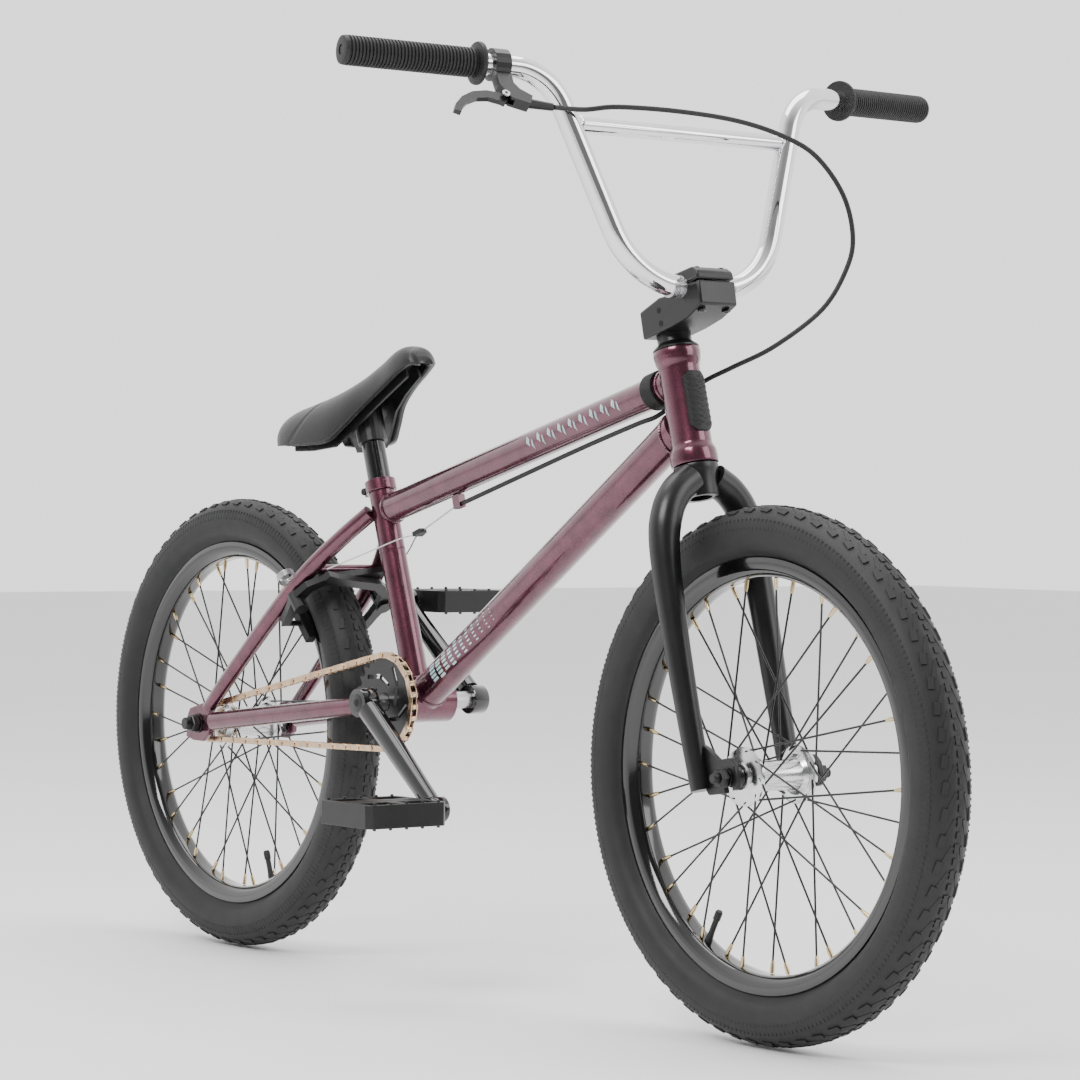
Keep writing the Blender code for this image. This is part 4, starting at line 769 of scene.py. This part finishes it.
# ------------------------------------------------------------------ saddle
STATIONS = ((0.000, 0.0080, 0.0080, 0.0060), (0.005, 0.0220, 0.0165, 0.0170), (0.026, 0.0310, 0.0225, 0.0280),
            (0.060, 0.0270, 0.0250, 0.0310), (0.090, 0.0235, 0.0300, 0.0360), (0.120, 0.0220, 0.0400, 0.0480),
            (0.145, 0.0225, 0.0480, 0.0570), (0.180, 0.0255, 0.0540, 0.0520), (0.210, 0.0280, 0.0560, 0.0440),
            (0.228, 0.0240, 0.0530, 0.0340), (0.236, 0.0100, 0.0450, 0.0160))
NOSE = Vector((-0.1060, 0, 0.6660))
seat_place = Matrix.Translation(NOSE) @ Matrix.Rotation(math.radians(-20), 4, "Y")


def station(along):
    """Top, half width and drop at a distance from the nose, on a smooth curve through the stations."""
    last = len(STATIONS) - 1
    for k in range(last):
        a, b = STATIONS[k], STATIONS[k + 1]
        if along <= b[0] or k == last - 1:
            before, after = STATIONS[max(k - 1, 0)], STATIONS[min(k + 2, last)]
            width = b[0] - a[0]
            t = min(1.0, (along - a[0]) / width)
            made = []
            for item in range(1, 4):
                rise_a = (b[item] - before[item]) / (b[0] - before[0]) * width
                rise_b = (after[item] - a[item]) / (after[0] - a[0]) * width
                if k == 0 or k == last - 1:
                    rise_a = rise_b = b[item] - a[item]
                made.append((2 * t ** 3 - 3 * t * t + 1) * a[item] + (t ** 3 - 2 * t * t + t) * rise_a
                            + (3 * t * t - 2 * t ** 3) * b[item] + (t ** 3 - t * t) * rise_b)
            return made


def seat_skin(name, finish, thick, inset, rows, first, last, seam, replaces):
    bm = bmesh.new()
    grid = []
    across = 64
    for r in range(rows + 1):
        along = first + (last - first) * r / rows
        top, half, drop = station(along)
        row = []
        for c in range(across + 1):
            turn = math.radians(-90 + 180 * c / across)
            y = (half - inset) * math.sin(turn)
            z = top - inset - (drop - inset / 2) * (1 - math.cos(turn)) ** 1.3
            if seam:
                # The cover's sewn line sweeps over each rear wing, with a shallow groove along it.
                reach = 0.155 + 0.050 * (abs(math.degrees(turn)) / 90) ** 2
                gap = abs(along - reach)
                groove = 0.0011 * math.exp(-(gap / 0.0016) ** 2) * (abs(turn) > 0.35)
                z -= groove
                y -= math.copysign(groove, y) * 0.8 if y else 0
            row.append(bm.verts.new(seat_place @ Vector((-along, y, z))))
        grid.append(row)
    for a, b in zip(grid, grid[1:]):
        for k in range(across):
            bm.faces.new((a[k], a[k + 1], b[k + 1], b[k]))
    made = put(bm, name, finish, "saddle", replaces, split=60)
    shell = made.modifiers.new("shell", "SOLIDIFY")
    shell.thickness = thick
    shell.offset = -1
    return made


cover = seat_skin("seat_cover_sewn", LEATHER, 0.0078, 0.0, 150, 0.0, 0.236, True, ["seat_cover"])
post = bmesh.new()
solid(post, [(0.0127, 0.1150), (0.0127, 0.3118), (0.0120, 0.3120)], turned_to(SEAT_UP, BB), 48)
put(post, "seat_post_gloss", GLOSS, "saddle", ["seat_post"])

# ------------------------------------------------------------------ seat collar and its bolt
collar = bmesh.new()
clamp_place = turned_to(SEAT_UP, BB)
lathe(collar, [(0.0166, 0.2389), (0.0172, 0.2395), (0.0172, 0.2514), (0.0166, 0.2519), (0.0131, 0.2519), (0.0131, 0.2389)],
      clamp_place, 56)
back = -Vector((SEAT_UP.z, 0, -SEAT_UP.x))
for sign in (1, -1):
    spot = Matrix.Translation(BB + SEAT_UP * 0.2454) @ Matrix((back, Y, SEAT_UP)).transposed().to_4x4()
    box(collar, (0.0150, min(sign * 0.0010, sign * 0.0064), -0.0054), (0.0234, max(sign * 0.0010, sign * 0.0064), 0.0054), spot)
put(collar, "seat_collar", PAINT, "frame", ["seat_clamp"], bevel=0.0006)
pinch = bmesh.new()
bolt(pinch, BB + SEAT_UP * 0.2454 + back * 0.0195 - Y * 0.0062, -Y, 0.0040, 0.0050, 0.0021)
solid(pinch, [(0.0036, 0), (0.0036, 0.0040)], turned_to(Y, BB + SEAT_UP * 0.2454 + back * 0.0195 + Y * 0.0062), 6)
put(pinch, "collar_bolt", [SATIN, HOLE_SHADE], "frame", split=30)

# ------------------------------------------------------------------ badge and strap
badge = bmesh.new()
rows, cols = 60, 28
grid = []
for r in range(rows + 1):
    h = 0.030 + 0.062 * r / rows
    end_gap = min(r, rows - r) / rows * 0.062
    reach = 0.0135 * min(1.0, 0.45 + end_gap / 0.012)
    row = []
    for c in range(cols + 1):
        u = -1 + 2 * c / cols
        a = reach * u / 0.0205
        wave = abs(((h - 0.030 - abs(u) * 0.006) / 0.0062) % 1 - 0.5)
        r_out = 0.0234 + (0.0010 if wave < 0.25 and 5 < r < rows - 5 and abs(u) < 0.8 else 0.0)
        if c in (0, cols) or r in (0, rows):
            r_out = 0.0210
        ray = AHEAD * math.cos(a) + Y * math.sin(a)
        row.append(badge.verts.new(HEAD + UP * h + ray * r_out))
    grid.append(row)
for a, b in zip(grid, grid[1:]):
    for k in range(cols):
        badge.faces.new((a[k], a[k + 1], b[k + 1], b[k]))
put(badge, "badge_chevrons", RUBBER, "frame", ["head_badge"], split=25)
strap = bmesh.new()
strap_place = turned_to(-line, TOP_B - line * 0.0265)
run = [(0.0163, 0.0000), (0.0187, 0.0002)]
for k in range(8):
    run += [(0.0190, 0.0010 + 0.0020 * k), (0.0182, 0.0017 + 0.0020 * k), (0.0190, 0.0024 + 0.0020 * k)]
run += [(0.0187, 0.0169), (0.0163, 0.0170)]
lathe(strap, run, strap_place, 56)
put(strap, "strap_ribbed", RUBBER, "frame", ["top_tube_strap"], split=30)

# ------------------------------------------------------------------ abstract prints on the tubes
def patch(bm, start, axis, radius, z0, z1, a0, a1, lift=0.00015, taper=0.0):
    """A thin print that wraps a tube between two heights and two angles."""
    place = turned_to(axis, start)
    n = 6
    edges = []
    for height, twist in ((z0, 0), (z1, taper)):
        turns = [math.radians(a0 + (a1 - a0) * k / n + twist) for k in range(n + 1)]
        edges.append([bm.verts.new(place @ Vector(((radius + lift) * math.cos(t), (radius + lift) * math.sin(t), height)))
                      for t in turns])
    for k in range(n):
        bm.faces.new((edges[0][k], edges[0][k + 1], edges[1][k + 1], edges[1][k]))


def facing_angle(axis, start, toward):
    local = turned_to(axis, start).inverted().to_3x3() @ Vector(toward)
    return math.degrees(math.atan2(local.y, local.x))


prints = bmesh.new()
near = facing_angle(line_down, BB, (0, -1, 0))
for k in range(11):
    z = 0.055 + 0.0125 * k
    share = 1 - k / 11
    for row in range(5):
        size = 7.5 * share + 1.5
        a = near - 28 + 13 * row + (6.5 if k % 2 else 0)
        patch(prints, BB, line_down, 0.01905, z, z + 0.0095 * (share * 0.8 + 0.15), a - size / 2, a + size / 2)
near = facing_angle(line, TOP_A, (0, -1, 0))
for k in range(9):
    z = 0.285 + 0.0180 * k
    patch(prints, TOP_A, line, 0.0159, z, z + 0.0045, near - 26, near + 2, taper=14)
    patch(prints, TOP_A, line, 0.0159, z + 0.0082, z + 0.0105, near - 10, near + 20, taper=14)
put(prints, "tube_prints", DECAL, "frame", split=60)

# ------------------------------------------------------------------ cable housing
stop = TOP_A + line * 0.1414 + Vector((line.z, 0, -line.x)) * 0.0270
housing_route = [(0.3393, -0.175, 0.8962), (0.3385, -0.1370, 0.8970), (0.3500, -0.1050, 0.9010), (0.3620, -0.0400, 0.9008),
                 (0.3740, 0.0250, 0.8955), (0.3850, 0.0750, 0.8835), (0.3960, 0.1100, 0.8651), (0.4088, 0.1350, 0.8282),
                 (0.4165, 0.1420, 0.7876), (0.4149, 0.1360, 0.7546), (0.4030, 0.1150, 0.7135), (0.3722, 0.0800, 0.6766),
                 (0.3414, 0.0520, 0.6556), (0.3180, 0.0360, 0.6420), (0.2980, 0.0220, 0.6250), (0.2800, 0.0070, 0.6070),
                 (0.2550, 0.0000, 0.5985), (0.1700, 0.0000, 0.5760), (0.0600, 0.0000, 0.5450), stop]
housing = bmesh.new()
sweep(housing, smooth(housing_route, 8), 0.0025, 16)
housing = put(housing, "brake_housing_smooth", RUBBER, None, ["brake_housing"], split=60)
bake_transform(housing)

# ------------------------------------------------------------------ brake detail
for side, sign in SIDES.items():
    joint = [j for j in frame["joints"] if j["name"] == f"{side}_arm_swing"][0]
    at, axis = Vector(joint["pos_m"]), Vector(joint["axis"]).normalized()
    normal = axis if axis.x > 0 else -axis
    extras = bmesh.new()
    spring = [at - normal * 0.0105 + (normal.orthogonal().normalized() * math.cos(a)
              + normal.cross(normal.orthogonal().normalized()) * math.sin(a)) * 0.0098 - normal * (0.0019 * a / 6.283)
              for a in (2 * math.pi * k / 24 for k in range(24 * 4))]
    sweep(extras, spring, 0.0008, 8)
    put(extras, f"brake_spring_{side}", STEEL_MAT, f"{side}_brake_arm", split=60)


# ------------------------------------------------------------------ finishes on the CAD pieces that stay
KEPT = {"seat_base": PLASTIC, "headset_bearing_lower": STEEL_MAT, "headset_bearing_upper": STEEL_MAT,
        "bb_bearing_right": SATIN, "bb_bearing_left": SATIN,
        "cable_stop": PAINT, "brake_inner_wire": STEEL_MAT, "straddle_wire": STEEL_MAT,
        "cable_hanger": SATIN, "crank_spindle": STEEL_MAT, "pedal_axle_right": STEEL_MAT, "pedal_axle_left": STEEL_MAT,
        "brake_lever_bracket": SATIN, "brake_lever": SATIN, "brake_arm_right": SATIN, "brake_arm_left": SATIN,
        "brake_pad_right": RUBBER, "brake_pad_left": RUBBER}
for node, finish in KEPT.items():
    kept = frame["nodes"][node]
    for place in kept.material_slots:
        place.material = finish

# ------------------------------------------------------------------ lever pivot bolts
out_bar, away_bar = Vector((-0.1903, -0.9814, 0.0265)), Vector((0.6277, -0.1423, -0.7653))
lever_at = [Vector(j["pos_m"]) for j in frame["joints"] if j["name"] == "lever_pull"][0]
pivot_axis = out_bar.cross(away_bar).normalized()
fittings = bmesh.new()
for sign in (1, -1):
    bolt(fittings, lever_at + pivot_axis * sign * 0.0058, pivot_axis * sign, 0.0040, 0.0014, 0.0018)
put(fittings, "lever_pivot_bolt", [STEEL_MAT, HOLE_SHADE], "steering", split=30)

# ------------------------------------------------------------------ floor and light
floor_bm = bmesh.new()
verts = [floor_bm.verts.new(p) for p in ((-14, -14, -0.0005), (14, -14, -0.0005), (14, 14, -0.0005), (-14, 14, -0.0005))]
floor_bm.faces.new(verts)
floor_mesh = bpy.data.meshes.new("floor")
floor_bm.to_mesh(floor_mesh)
floor_bm.free()
floor = bpy.data.objects.new("floor", floor_mesh)
bpy.context.scene.collection.objects.link(floor)
ground = material("pale_floor", (0.90, 0.90, 0.90), 0.6, spread=0.01, scale=2)
floor_mesh.materials.append(ground)
world = bpy.data.worlds.new("studio")
bpy.context.scene.world = world
world.use_nodes = True
# The room is bright behind the bike and falls off to grey on the near side, so that chrome and gloss have
# something to mirror.
sky, wires_of = world.node_tree.nodes, world.node_tree.links
way = sky.new("ShaderNodeTexCoord")
dot = sky.new("ShaderNodeVectorMath")
dot.operation = "DOT_PRODUCT"
dot.inputs[1].default_value = (-0.79, 0.61, 0.10)
fade = sky.new("ShaderNodeMapRange")
fade.interpolation_type = "SMOOTHSTEP"
fade.inputs["From Min"].default_value, fade.inputs["From Max"].default_value = -0.75, 0.35
fade.inputs["To Min"].default_value, fade.inputs["To Max"].default_value = 0.22, 1.75
wires_of.new(way.outputs["Generated"], dot.inputs[0])
wires_of.new(dot.outputs["Value"], fade.inputs["Value"])
wires_of.new(fade.outputs["Result"], sky["Background"].inputs["Strength"])
sky["Background"].inputs["Color"].default_value = (1, 1, 1, 1)


def lamp(name, at, aim, size, power):
    data = bpy.data.lights.new(name, "AREA")
    data.shape, data.size, data.size_y, data.energy = "RECTANGLE", size[0], size[1], power
    made = bpy.data.objects.new(name, data)
    made.matrix_world = turned_to(Vector(at) - Vector(aim), at)
    bpy.context.scene.collection.objects.link(made)


lamp("key", (1.2, -2.8, 3.2), (0, 0, 0.4), (2.0, 1.2), 120)
lamp("fill", (3.2, 1.6, 2.2), (0, 0, 0.4), (2.0, 2.0), 45)
lamp("top", (-0.6, 0.2, 3.6), (0, 0, 0.3), (3.0, 2.0), 70)
